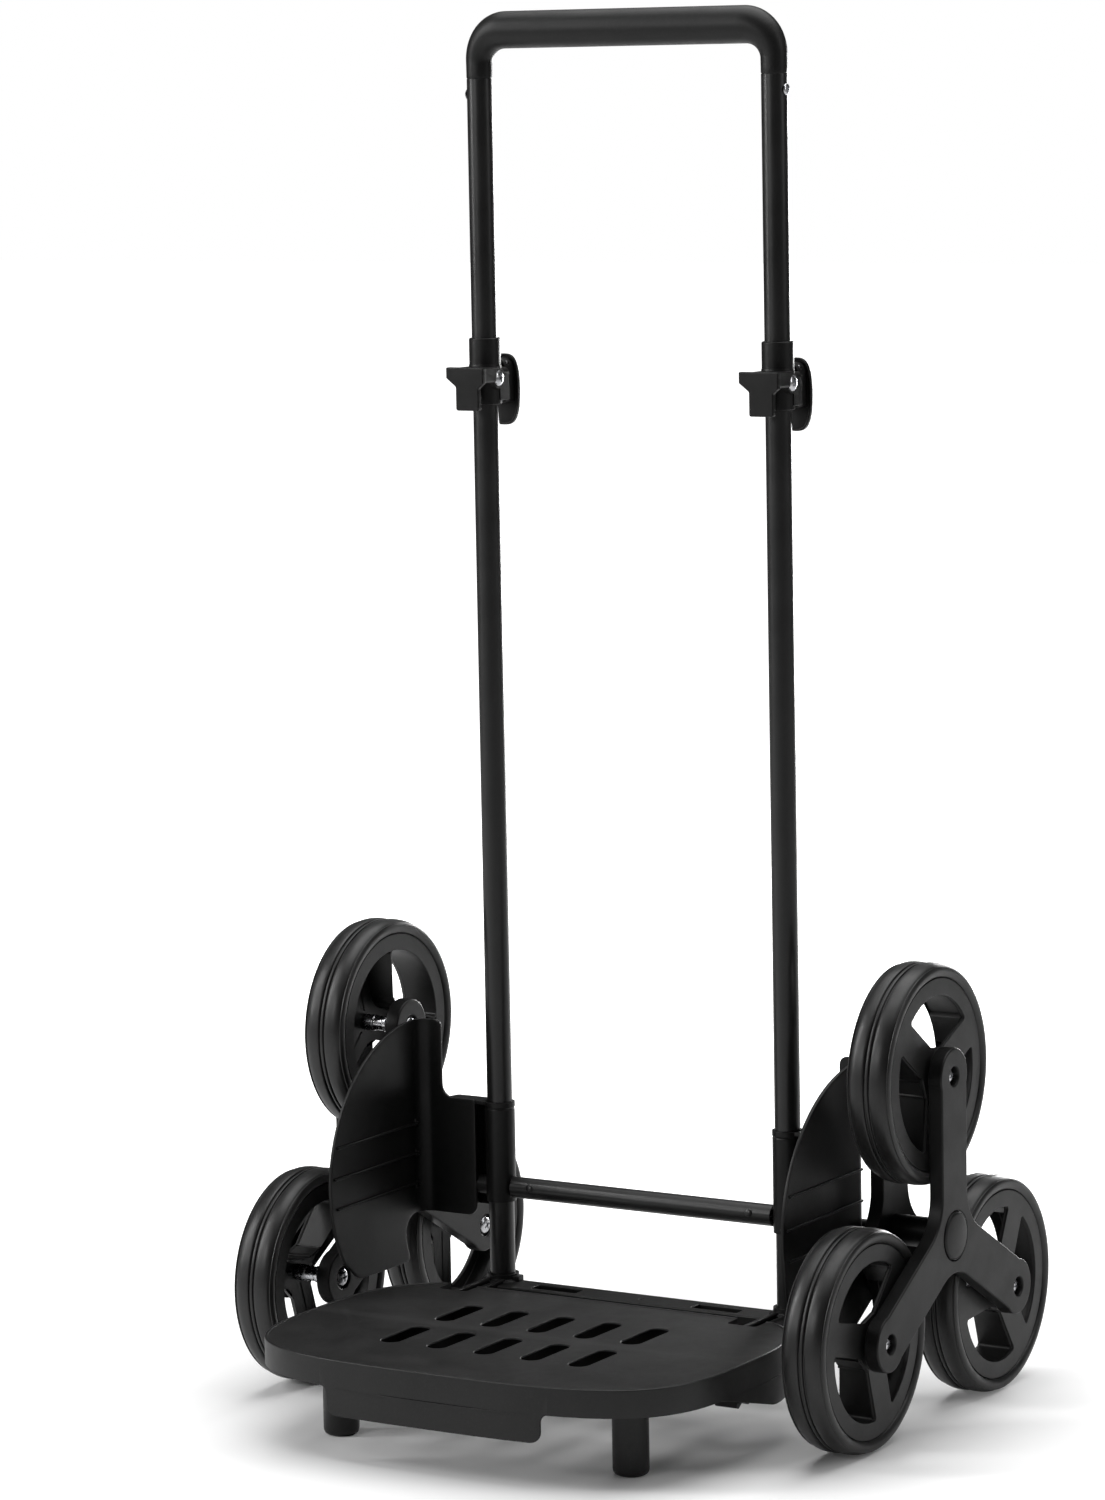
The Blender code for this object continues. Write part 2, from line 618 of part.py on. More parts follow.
def cluster(name, side, root):
    """Two Y-shaped brackets that carry three wheels and turn about the main axle."""
    hub = empty("cluster_" + name, root, (side * CLUSTER_X, 0, AXLE_Z), 0 if side > 0 else math.pi)

    def spread(angle):
        """Wheel place in the turned frame, which swaps front and rear on the left."""
        return hub_place(angle if side > 0 else 180 - angle)

    outline = bracket_outline()
    outer = add("bracket_outer_" + name, prism(outline, BRACKET_IN, BRACKET_OUT, "X"), plastic(), hub)
    holes = rod(BORE_R, 0.010, 0.040, "X", steps=12)
    pockets = rod(0.0178, 0.0275, 0.040, "X", steps=24)
    clip_seat = rod(0.0095, 0.0240, 0.035, "X", steps=16)
    for _, angle in WHEELS:
        rod(BORE_R, 0.010, 0.040, "X", spread(angle), 12, holes)
        rod(0.0072, 0.0240, 0.040, "X", spread(angle), 14, pockets)
    cut(outer, pockets)
    cut(outer, clip_seat)
    cut(outer, holes)

    inner = add("bracket_inner_" + name, prism(outline, -BRACKET_OUT, -BRACKET_IN, "X"), plastic(), hub)
    join(inner, rod(0.0110, -0.020, BRACKET_IN - GAP, "X", steps=20))
    holes = rod(BORE_R, -0.040, 0.030, "X", steps=12)
    for _, angle in WHEELS:
        rod(BORE_R, -0.040, -0.010, "X", spread(angle), 12, holes)
    cut(inner, holes)

    cap = ((0.0160, 0.0322), (0.0175, 0.0312), (0.0175, 0.0278))
    add("hub_cap_" + name, turned(cap, 24, "X"), plastic(), hub)

    for place, angle in WHEELS:
        wheel(name + "_" + place, spread(angle), hub)


def wheel(name, centre, hub):
    """One wheel: shoulder bolt, end screw, spoked rim and tyre, all drawn from its axis."""
    spin = empty("wheel_" + name, hub, (0, *centre))
    bolt = ((0.0062, -0.0322), (0.0070, -0.0298), (AXLE_R, -0.0298), (AXLE_R, 0.0238))
    axle = add("wheel_axle_" + name, turned(bolt, 12, "X"), steel(), spin)
    cut(axle, rod(0.0022, 0.0120, 0.0300, "X", steps=8))
    screw = ((0.0019, 0.0140), (0.0019, 0.0245), (0.0050, 0.0245), (0.0040, 0.0270))
    add("axle_screw_" + name, turned(screw, 10, "X"), steel(), spin)
    rim(name, spin)
    tyre(name, spin)


def window_outline(middle):
    """Opening between two spokes: parallel to the spokes, round at the rim."""
    inner_r, outer_r, half_spoke, corner = 0.0200, 0.0570, SPOKE_HALF, 0.0040
    low = math.degrees(math.asin((half_spoke + corner) / (outer_r - corner)))
    first, last = middle - 60 + low, middle + 60 - low
    reach = outer_r - corner

    def polar(radius, angle):
        turn = math.radians(angle)
        return radius * math.cos(turn), radius * math.sin(turn)

    root_angle = math.degrees(math.asin((half_spoke + 0.003) / inner_r))
    points = arc(polar(inner_r, middle - 60 + root_angle), 0.003, middle + 240, middle + 210, 2)
    points += arc(polar(reach, first), corner, middle - 150, middle - 60 + low, 3)
    points += arc((0, 0), outer_r, first, last, 5)[1:-1]
    points += arc(polar(reach, last), corner, middle + 60 - low, middle + 150, 3)
    points += arc(polar(inner_r, middle + 60 - root_angle), 0.003, middle + 150, middle + 120, 2)
    return points


def rim(name, spin):
    """Dished rim with three spokes, turned to its own angle."""
    seen = SPOKE_ANGLE[name]
    first = (seen if name.startswith("right") else 180 - seen) + 60
    spokes = add("rim_" + name, rod(RIM_R, -RIM_HALF, RIM_HALF, "X", steps=ROUND), plastic(), spin)
    dish = lathe(((0.0640, -0.030), (0.0640, -0.004), (0.0150, -0.004), (0.0150, -0.030)), 24, "X")
    cut(spokes, dish)
    windows = bmesh.new()
    for middle in (first, first + 120, first + 240):
        prism(window_outline(middle), -0.020, 0.020, "X", windows)
    cut(spokes, windows)
    cut(spokes, rod(0.0043, -0.020, 0.020, "X", steps=12))


def tyre(name, spin):
    inner = RIM_R + GAP
    half = [(inner, 0.0150), (0.0740, TYRE_HALF), (0.0785, 0.0148), (WHEEL_R, 0.0090)]
    profile = half + [(r, -x) for r, x in reversed(half)]
    add("tyre_" + name, lathe(profile, ROUND, "X"), rubber(), spin)


# ---------------------------------------------------------------- assembly

def build():
    clear_scene()
    root = empty("frame_root", None, (0, TUBE_Y, 0))
    base_rail(root)
    crossbar(root)
    main_axle(root)
    handle(root)
    platform(root)
    for name, side in SIDES:
        lower_tube(name, side, root)
        guard(name, side, root)
        clamp(name, side, root)
        release_lever(name, side, root)
        cluster(name, side, root)


build()
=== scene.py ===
"""Looks of the stair climbing trolley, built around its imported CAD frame."""
import json
import math

import bmesh
import bpy
from mathutils import Matrix, Vector
from mathutils.geometry import delaunay_2d_cdt, tessellate_polygon

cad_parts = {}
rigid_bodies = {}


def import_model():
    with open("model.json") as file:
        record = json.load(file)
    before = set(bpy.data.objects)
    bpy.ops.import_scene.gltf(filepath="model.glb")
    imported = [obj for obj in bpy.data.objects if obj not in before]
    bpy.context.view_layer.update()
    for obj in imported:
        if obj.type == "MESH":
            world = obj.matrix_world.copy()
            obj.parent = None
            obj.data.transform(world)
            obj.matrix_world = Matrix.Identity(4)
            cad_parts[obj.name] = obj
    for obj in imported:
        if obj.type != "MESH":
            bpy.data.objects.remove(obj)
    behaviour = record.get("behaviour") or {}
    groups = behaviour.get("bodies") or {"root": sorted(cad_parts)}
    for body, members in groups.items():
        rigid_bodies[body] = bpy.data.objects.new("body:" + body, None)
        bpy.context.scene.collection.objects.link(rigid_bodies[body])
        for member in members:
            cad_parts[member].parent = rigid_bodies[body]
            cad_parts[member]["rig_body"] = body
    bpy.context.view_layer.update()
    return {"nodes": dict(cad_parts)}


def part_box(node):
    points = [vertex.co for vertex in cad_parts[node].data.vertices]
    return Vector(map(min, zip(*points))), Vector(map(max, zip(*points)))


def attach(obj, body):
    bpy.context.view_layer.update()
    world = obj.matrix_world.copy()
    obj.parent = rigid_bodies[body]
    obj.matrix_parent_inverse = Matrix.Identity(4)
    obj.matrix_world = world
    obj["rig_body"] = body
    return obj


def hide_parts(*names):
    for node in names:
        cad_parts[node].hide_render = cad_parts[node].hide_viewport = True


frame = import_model()

MM = 0.001
WHITE = (1, 1, 1, 1)
TUBE_Y = sum(corner.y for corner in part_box("lower_tube_left")) / 2


# ---- camera, light, floor

def make_camera():
    azimuth, pitch, roll = math.radians(31.44), math.radians(7.32), -0.0183
    target, distance = Vector((-0.07128, TUBE_Y, 0.4719)), 3.90487
    focal, picture, sensor = 5269.35, 1500, 36       # pixels, pixels high, mm high
    back = Vector((math.sin(azimuth) * math.cos(pitch), -math.cos(azimuth) * math.cos(pitch),
                   math.sin(pitch)))
    right = Vector((math.cos(azimuth), math.sin(azimuth), 0))
    up = back.cross(right)
    right_rolled = math.cos(roll) * right + math.sin(roll) * up
    up_rolled = -math.sin(roll) * right + math.cos(roll) * up
    place = target + distance * back
    data = bpy.data.cameras.new("camera")
    data.sensor_fit = "VERTICAL"
    data.sensor_height = sensor
    data.lens = focal / picture * sensor
    data.clip_start = 0.1
    data.clip_end = 60
    camera = bpy.data.objects.new("camera", data)
    bpy.context.scene.collection.objects.link(camera)
    rows = Matrix((right_rolled, up_rolled, back)).transposed().to_4x4()
    rows.translation = place
    camera.matrix_world = rows
    bpy.context.scene.camera = camera


def area_light(name, place, aim, size, power):
    data = bpy.data.lights.new(name, "AREA")
    data.shape = "RECTANGLE"
    data.size, data.size_y = size
    data.energy = power
    lamp = bpy.data.objects.new(name, data)
    bpy.context.scene.collection.objects.link(lamp)
    lamp.location = place
    lamp.rotation_mode = "QUATERNION"
    lamp.rotation_quaternion = (Vector(aim) - Vector(place)).to_track_quat("-Z", "Y")


def make_studio():
    world = bpy.data.worlds.new("studio")
    bpy.context.scene.world = world
    world.use_nodes = True
    nodes, links = world.node_tree.nodes, world.node_tree.links
    nodes.clear()
    output = nodes.new("ShaderNodeOutputWorld")
    mix = nodes.new("ShaderNodeMixShader")
    path = nodes.new("ShaderNodeLightPath")
    links.new(path.outputs["Is Camera Ray"], mix.inputs["Fac"])
    for slot, strength in ((1, 0.05), (2, 1.0)):     # as light, and as the backdrop
        sky = nodes.new("ShaderNodeBackground")
        preset(sky, Color=WHITE, Strength=strength)
        links.new(sky.outputs[0], mix.inputs[slot])
    links.new(mix.outputs[0], output.inputs["Surface"])

    area_light("soft_left", (-2.4, -1.6, 1.9), (0, 0, 0.8), (0.5, 2.2), 54)
    area_light("soft_right", (2.6, 0.6, 1.9), (0, 0, 0.7), (0.5, 2.0), 12)
    area_light("soft_top", (0.0, 0.6, 3.2), (0, 0, 0), (3.2, 3.2), 88)
    area_light("soft_front", (-0.9, -2.5, 1.45), (0, 0, 0.95), (0.9, 0.5), 13)
    area_light("soft_back", (-0.3, 3.0, 0.55), (0, 0, 0.2), (1.2, 0.8), 60)

    mesh = bpy.data.meshes.new("floor")
    mesh.from_pydata([(-20, -20, 0), (20, -20, 0), (20, 20, 0), (-20, 20, 0)], [], [(0, 1, 2, 3)])
    floor = bpy.data.objects.new("floor", mesh)
    bpy.context.scene.collection.objects.link(floor)
    look, tree, shader = shader_tree("floor")
    preset(shader, Base_Color=(0.86, 0.86, 0.86, 1), Roughness=0.9, Specular_IOR_Level=0.1,
           Emission_Color=WHITE)
    where = tree.nodes.new("ShaderNodeTexCoord")
    away = tree.nodes.new("ShaderNodeVectorMath")
    away.operation = "LENGTH"
    tree.links.new(where.outputs["Object"], away.inputs[0])
    near_glow = ramp(tree, away.outputs["Value"], 0.22, 0.55, 0.0, 0.70)
    far_glow = ramp(tree, away.outputs["Value"], 0.60, 1.6, 0.0, 0.60)
    seen = tree.nodes.new("ShaderNodeLightPath")
    glow = maths(tree, "MULTIPLY", maths(tree, "ADD", near_glow, far_glow), seen.outputs["Is Camera Ray"])
    tree.links.new(glow, shader.inputs["Emission Strength"])
    mesh.materials.append(look)
    bpy.context.scene.view_settings.view_transform = "Standard"


# ---- materials

def shader_tree(name):
    made = bpy.data.materials.new(name)
    made.use_nodes = True
    tree = made.node_tree
    return made, tree, tree.nodes["Principled BSDF"]


def preset(node, **values):
    """Sets sockets, named with _ for each space."""
    for name, value in values.items():
        node.inputs[name.replace("_", " ")].default_value = value


def maths(tree, operation, first, second):
    made = tree.nodes.new("ShaderNodeMath")
    made.operation = operation
    tree.links.new(first, made.inputs[0])
    tree.links.new(second, made.inputs[1])
    return made.outputs[0]


def noise(tree, scale, detail=3.0, roughness=0.55):
    """A noise texture in the object's own space; returns its value socket."""
    where = tree.nodes.new("ShaderNodeTexCoord")
    made = tree.nodes.new("ShaderNodeTexNoise")
    preset(made, Scale=scale, Detail=detail, Roughness=roughness)
    tree.links.new(where.outputs["Object"], made.inputs["Vector"])
    return made.outputs["Fac"]


def ramp(tree, value, low, high, start, end):
    """Maps a value from low..high to start..end, clamped."""
    made = tree.nodes.new("ShaderNodeMapRange")
    preset(made, From_Min=low, From_Max=high, To_Min=start, To_Max=end)
    tree.links.new(value, made.inputs["Value"])
    return made.outputs["Result"]


def mixed(tree, factor, first, second):
    """A colour between two, first and second being colours or sockets."""
    made = tree.nodes.new("ShaderNodeMix")
    made.data_type = "RGBA"
    tree.links.new(factor, made.inputs["Factor"])
    for socket, value in ((made.inputs[6], first), (made.inputs[7], second)):
        if isinstance(value, tuple):
            socket.default_value = (*value, 1)
        else:
            tree.links.new(value, socket)
    return made.outputs[2]


def grey(level, warmth=0.0):
    return (level * (1 + warmth), level, level * (1 - warmth))


def bumps(tree, shader, layers):
    """Chains bump nodes, one for each (height socket, distance in metres, strength)."""
    normal = None
    for height, distance, strength in layers:
        made = tree.nodes.new("ShaderNodeBump")
        preset(made, Distance=distance, Strength=strength)
        tree.links.new(height, made.inputs["Height"])
        if normal:
            tree.links.new(normal, made.inputs["Normal"])
        normal = made.outputs["Normal"]
    tree.links.new(normal, shader.inputs["Normal"])


def worn(tree, colour, lighter, amount):
    """Lightens the colour on the sharpest edges."""
    shape = tree.nodes.new("ShaderNodeNewGeometry")
    edge = ramp(tree, shape.outputs["Pointiness"], 0.53, 0.62, 0.0, amount)
    return mixed(tree, edge, colour, lighter)


def plastic(name, dark, light, rough, grain, depth, specular=0.5, wear=0.35):
    """Moulded plastic: mottled colour, spark-eroded grain and slightly polished edges."""
    made, tree, shader = shader_tree(name)
    cloud = noise(tree, 14, 4)
    speck = noise(tree, grain * 0.6, 2)
    base = mixed(tree, ramp(tree, cloud, 0.35, 0.65, 0, 1), grey(dark), grey(light, 0.01))
    base = mixed(tree, ramp(tree, speck, 0.52, 0.75, 0, 0.5), base, grey(light * 1.5))
    tree.links.new(worn(tree, base, grey(light * 2.2), wear), shader.inputs["Base Color"])
    smear = noise(tree, 32, 5, 0.65)
    tree.links.new(ramp(tree, smear, 0.3, 0.7, rough - 0.05, rough + 0.06), shader.inputs["Roughness"])
    preset(shader, Specular_IOR_Level=specular)
    bumps(tree, shader, ((noise(tree, grain, 3, 0.6), depth, 0.6),
                         (noise(tree, grain * 2.7, 2), depth * 0.5, 0.45)))
    return made


def rubber(name):
    made, tree, shader = shader_tree(name)
    cloud = noise(tree, 22, 5)
    base = mixed(tree, ramp(tree, cloud, 0.35, 0.7, 0, 1), grey(0.0048), grey(0.0080, 0.02))
    dust = noise(tree, 160, 4, 0.7)
    base = mixed(tree, ramp(tree, dust, 0.58, 0.8, 0, 0.35), base, grey(0.035, 0.03))
    tree.links.new(base, shader.inputs["Base Color"])
    tree.links.new(ramp(tree, noise(tree, 60, 4), 0.3, 0.7, 0.33, 0.46), shader.inputs["Roughness"])
    preset(shader, Specular_IOR_Level=0.5, Sheen_Weight=0.06, Sheen_Roughness=0.5)
    bumps(tree, shader, ((noise(tree, 900, 3), 0.00006, 0.5), (noise(tree, 120, 3), 0.0001, 0.25)))
    return made


def powder_paint(name):
    made, tree, shader = shader_tree(name)
    cloud = noise(tree, 9, 3)
    base = mixed(tree, ramp(tree, cloud, 0.35, 0.65, 0, 1), grey(0.0060), grey(0.0085, 0.01))
    fleck = noise(tree, 1400, 2)
    base = mixed(tree, ramp(tree, fleck, 0.6, 0.78, 0, 0.5), base, grey(0.028))
    tree.links.new(base, shader.inputs["Base Color"])
    tree.links.new(ramp(tree, noise(tree, 40, 4), 0.3, 0.7, 0.31, 0.40), shader.inputs["Roughness"])
    preset(shader, Specular_IOR_Level=0.5, Coat_Weight=0.12, Coat_Roughness=0.22)
    bumps(tree, shader, ((noise(tree, 1100, 2), 0.00005, 0.5), (noise(tree, 320, 2), 0.00008, 0.35)))
    return made


def zinc_plate(name):
    made, tree, shader = shader_tree(name)
    base = mixed(tree, ramp(tree, noise(tree, 260, 4), 0.35, 0.65, 0, 1),
                 (0.50, 0.51, 0.54), (0.74, 0.74, 0.75))
    base = mixed(tree, ramp(tree, noise(tree, 900, 3), 0.55, 0.8, 0, 0.5), base, (0.30, 0.29, 0.27))
    tree.links.new(base, shader.inputs["Base Color"])
    tree.links.new(ramp(tree, noise(tree, 420, 3), 0.3, 0.7, 0.18, 0.34), shader.inputs["Roughness"])
    preset(shader, Metallic=1.0)
    bumps(tree, shader, ((noise(tree, 1600, 2), 0.00004, 0.4), (noise(tree, 300, 2), 0.00006, 0.3)))
    return made


FRAME_PLASTIC = plastic("frame_plastic", 0.0045, 0.0065, 0.40, 1500, 0.00006, 0.30)
BRACKET_PLASTIC = plastic("bracket_plastic", 0.0060, 0.0085, 0.42, 1300, 0.00006, 0.30)
PLATFORM_PLASTIC = plastic("platform_plastic", 0.0075, 0.0105, 0.44, 900, 0.00014, 0.36, wear=0.6)
# painted shade: a near-black copy of the platform plastic, for the ribs seen through the deck's slots, so
# that the slots read dark
PAINTED_SHADE_PLASTIC = plastic("painted_shade_plastic", 0.0012, 0.0020, 0.70, 900, 0.00010, 0.05, wear=0.0)
GRIP_PLASTIC = plastic("grip_plastic", 0.0060, 0.0090, 0.44, 800, 0.00012, 0.30)
RIM_PLASTIC = plastic("rim_plastic", 0.0085, 0.0120, 0.40, 1400, 0.00005, 0.35)
TYRE = rubber("tyre_rubber")
PAINT = powder_paint("tube_paint")
ZINC = zinc_plate("zinc_steel")


# ---- mesh helpers

AXIS_TURN = {
    "Z": Matrix.Identity(4),
    "X": Matrix(((0, 0, 1, 0), (1, 0, 0, 0), (0, 1, 0, 0), (0, 0, 0, 1))),
    "Y": Matrix(((1, 0, 0, 0), (0, 0, -1, 0), (0, 1, 0, 0), (0, 0, 0, 1))),
}


def arc(centre, radius, start, end, steps):
    """Points of an arc, angles in degrees."""
    points = []
    for i in range(steps + 1):
        angle = math.radians(start + (end - start) * i / steps)
        points.append((centre[0] + radius * math.cos(angle), centre[1] + radius * math.sin(angle)))
    return points


def circle(radius, centre=(0, 0), steps=64):
    return arc(centre, radius, 0, 360, steps)[:-1]


def polar(radius, angle):
    """The point at an angle in degrees."""
    turn = math.radians(angle)
    return radius * math.cos(turn), radius * math.sin(turn)


def rounded(corners, steps=5):
    """Outline from (x, y, radius) corners, anticlockwise, with round corners."""
    points = []
    count = len(corners)
    for i in range(count):
        here = Vector(corners[i][:2])
        radius = corners[i][2]
        before = (Vector(corners[i - 1][:2]) - here).normalized()
        after = (Vector(corners[(i + 1) % count][:2]) - here).normalized()
        if radius <= 0:
            points.append(tuple(here))
            continue
        half = before.angle(after) / 2
        middle = here + (before + after).normalized() * (radius / math.sin(half))
        first = here + before * (radius / math.tan(half))
        last = here + after * (radius / math.tan(half))
        start = math.atan2(*(first - middle).yx)
        sweep = (math.atan2(*(last - middle).yx) - start + math.pi) % (2 * math.pi) - math.pi
        for k in range(steps + 1):
            angle = start + sweep * k / steps
            points.append((middle.x + radius * math.cos(angle), middle.y + radius * math.sin(angle)))
    return points


def oblong(low, high, near=0, far=None, steps=5):
    """Rectangle with corners of radius near on its lower edge and far on its upper edge."""
    (x0, y0), (x1, y1) = low, high
    far = near if far is None else far
    return rounded([(x0, y0, near), (x1, y0, near), (x1, y1, far), (x0, y1, far)], steps)


def offset(points, distance):
    """An anticlockwise loop moved inwards by a distance."""
    if not distance:
        return [Vector(p) for p in points]
    moved = []
    count = len(points)
    for i in range(count):
        here = Vector(points[i])
        into = (here - Vector(points[i - 1])).normalized()
        away = (Vector(points[(i + 1) % count]) - here).normalized()
        first, second = Vector((-into.y, into.x)), Vector((-away.y, away.x))
        moved.append(here + (first + second) * (distance / max(0.4, 1 + first.dot(second))))
    return moved


def ring(bm, points, height):
    return [bm.verts.new((p[0], p[1], height)) for p in points]


def bridge(bm, first, second):
    for i in range(len(first)):
        k = (i + 1) % len(first)
        bm.faces.new((first[i], first[k], second[k], second[i]))


def cap(bm, loops):
    flat = [vert for loop in loops for vert in loop]
    for corners in tessellate_polygon([[vert.co for vert in loop] for loop in loops]):
        bm.faces.new([flat[i] for i in corners])


def edge_rings(low, high, bottom, top, steps):
    """(inset, height) of the rings up a wall whose ends are rounded."""
    made = []
    for k in range(steps + 1 if bottom else 1):
        turn = math.pi / 2 * k / steps
        made.append((bottom * (1 - math.sin(turn)), low + bottom * (1 - math.cos(turn))))
    for k in range(steps + 1 if top else 1):
        turn = math.pi / 2 * k / steps
        made.append((top * (1 - math.cos(turn)), high - top * (1 - math.sin(turn))))
    return made


def wall(bm, points, low, high, bottom, top, sign, steps):
    rings = []
    for inset, height in edge_rings(low, high, bottom, top, steps):
        rings.append(ring(bm, offset(points, sign * inset), height))
    for here, there in zip(rings, rings[1:]):
        bridge(bm, here, there)
    return rings[0], rings[-1]


def slab(outer, low, high, bottom=0.0, top=0.0, holes=(), pockets=(), axis="Z", steps=3):
    """A plate with rounded edges, holes through it and pockets (outline, floor, holes) in its top."""
    bm = bmesh.new()
    foot, head = wall(bm, outer, low, high, bottom, top, 1, steps)
    feet, heads = [foot], [head]
    for hole in holes:
        foot, head = wall(bm, hole, low, high, bottom, top, -1, steps)
        feet.append(foot)
        heads.append(head)
    for outline, floor, inner in pockets:
        foot, head = wall(bm, outline, floor, high, 0.0, top, -1, steps)
        heads.append(head)
        floors = [foot]
        for hole in inner:
            deep, shallow = wall(bm, hole, low, floor, 0.0, 0.0, -1, steps)
            feet.append(deep)
            floors.append(shallow)
        cap(bm, floors)
    cap(bm, feet)
    cap(bm, heads)
    bmesh.ops.transform(bm, matrix=AXIS_TURN[axis], verts=bm.verts)
    return bm


def spun(profile, steps=64, axis="Z", closed=False):
    """Turns a (radius, height) profile. An open one is closed on the axis or by flat ends."""
    bm = bmesh.new()
    rings = []
    for radius, height in profile:
        if radius < 1e-7:
            rings.append([bm.verts.new((0, 0, height))] * steps)
        else:
            rings.append(ring(bm, circle(radius, steps=steps), height))
    pairs = list(zip(rings, rings[1:]))
    if closed:
        pairs.append((rings[-1], rings[0]))
    for here, there in pairs:
        for i in range(steps):
            k = (i + 1) % steps
            corners = []
            for vert in (here[i], here[k], there[k], there[i]):
                if vert not in corners:
                    corners.append(vert)
            bm.faces.new(corners)
    if not closed:
        for end in (rings[0], rings[-1]):
            if len(set(end)) > 2:
                bm.faces.new(end)
    bmesh.ops.transform(bm, matrix=AXIS_TURN[axis], verts=bm.verts)
    return bm


def softened(profile, radius, steps=3):
    """Rounds the corners of an open (radius, height) profile."""
    points = [profile[0]]
    for i in range(1, len(profile) - 1):
        here = Vector(profile[i])
        before, after = Vector(profile[i - 1]) - here, Vector(profile[i + 1]) - here
        reach = min(radius, before.length * 0.45, after.length * 0.45)
        first, last = here + before.normalized() * reach, here + after.normalized() * reach
        for k in range(steps + 1):
            t = k / steps
            points.append(tuple(first * (1 - t) ** 2 + here * 2 * t * (1 - t) + last * t * t))
    points.append(profile[-1])
    return points


def shifted(bm, place):
    bmesh.ops.translate(bm, verts=bm.verts, vec=Vector(place))
    return bm


def rod(radius, low, high, steps, axis="Z", place=(0, 0, 0)):
    """A plain round bar, to add or to cut a bore with."""
    return shifted(spun([(radius, low), (radius, high)], steps, axis), place)


def tube(bore, radius, low, high, soft, steps, axis="X", closed=False):
    """A bar with softened ends; closed, it is a tube with that bore."""
    profile = [(bore, low), (radius, low), (radius, high), (bore, high)]
    return spun(softened(profile, soft), steps, axis, closed)


def as_mesh(bm, name="shape"):
    bmesh.ops.remove_doubles(bm, verts=bm.verts, dist=1e-7)
    bmesh.ops.recalc_face_normals(bm, faces=bm.faces)
    mesh = bpy.data.meshes.new(name)
    bm.to_mesh(mesh)
    bm.free()
    return mesh


def merged(name, parts, cuts=()):
    """One closed mesh: the union of some shapes, less others."""
    helpers = []
    for bm in [*parts, *cuts]:
        helper = bpy.data.objects.new("helper", as_mesh(bm))
        bpy.context.scene.collection.objects.link(helper)
        helpers.append(helper)
    base = helpers[0]
    for i, helper in enumerate(helpers[1:], 1):
        step = base.modifiers.new("step", "BOOLEAN")
        step.operation = "UNION" if i < len(parts) else "DIFFERENCE"
        step.solver = "EXACT"
        step.object = helper
    graph = bpy.context.evaluated_depsgraph_get()
    mesh = bpy.data.meshes.new_from_object(base.evaluated_get(graph))
    mesh.name = name
    for helper in helpers:
        bpy.data.objects.remove(helper, do_unlink=True)
    return mesh


def piece(name, shape, look, body, nodes=(), turn=None, place=(0, 0, 0)):
    """Adds a visible piece; shape is a bmesh or a mesh that several pieces share."""
    mesh = shape if isinstance(shape, bpy.types.Mesh) else as_mesh(shape, name)
    mesh.shade_smooth()
    mesh.set_sharp_from_angle(angle=math.radians(SHARP_ANGLE))
    if not mesh.materials:
        mesh.materials.append(look)
    mesh.materials[0] = look
    made = bpy.data.objects.new(name, mesh)
    bpy.context.scene.collection.objects.link(made)
    made.matrix_world = Matrix.Translation(place) @ (turn or Matrix.Identity(4))
    finish = made.modifiers.new("normals", "WEIGHTED_NORMAL")
    finish.keep_sharp = True
    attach(made, body)
    if nodes:
        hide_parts(*nodes)


def body_of(node):
    """The body that carries a CAD node."""
    return frame["nodes"][node]["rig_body"]


def stand_in(node, shape, look, turn=None, place=(0, 0, 0)):
    """The detailed piece that replaces a CAD node."""
    piece(node + "_look", shape, look, body_of(node), [node], turn, place)


# ---- dimensions, from the frame

SHARP_ANGLE = 42                 # degrees; flatter edges are shaded smooth
SIDES = (("left", -1), ("right", 1))
SIDE_TURN = {-1: Matrix.Rotation(math.pi, 4, "Z"), 1: Matrix.Identity(4)}
WHEELS = (("top", 90), ("front", 210), ("rear", 330))
ROOT = (0, TUBE_Y, 0)
TUBE_X = sum(corner.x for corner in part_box("lower_tube_right")) / 2
TUBE_R, BORE_R = 0.0095, 0.0083
SPIGOT_R, SPIGOT_BORE_R, SPIGOT_TOP = 0.0079, 0.0067, 0.7583
HUB_R = 0.116                    # from the main axle to a wheel's axle
AXLE_Z = sum(corner.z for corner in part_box("main_axle")) / 2
CLUSTER_X = sum(corner.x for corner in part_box("tyre_right_top")) / 2
SPOKE_ANGLE = {"right_top": 144, "right_front": 166, "right_rear": 184,
               "left_top": 105, "left_front": 168, "left_rear": 150}


# ---- wheels

def tyre_mesh():
    """Two crowned bands, a narrow rib between two grooves, a lip at each shoulder."""
    half = [(79.55, 0), (79.55, 0.75), (79.2, 1.15), (78.2, 1.35), (78.0, 1.8), (78.2, 2.25), (79.3, 2.5),
            (79.75, 3.0), (79.95, 4.2), (80.0, 6.0), (79.95, 8.0), (79.7, 10.0), (79.2, 11.8),
            (78.5, 13.2), (77.9, 14.0), (77.3, 14.4), (77.15, 14.8), (77.3, 15.1), (77.75, 15.35),
            (77.8, 15.75), (77.3, 16.2), (76.4, 16.6), (75.2, 16.85), (73.8, 16.8), (72.4, 16.4),
            (71.2, 15.8), (70.5, 15.2), (70.15, 14.6), (69.9, 13.8)]
    profile = half + [(r, -x) for r, x in reversed(half[1:])]
    return as_mesh(spun([(r * MM, x * MM) for r, x in profile], 160, "X", closed=True), "tyre")


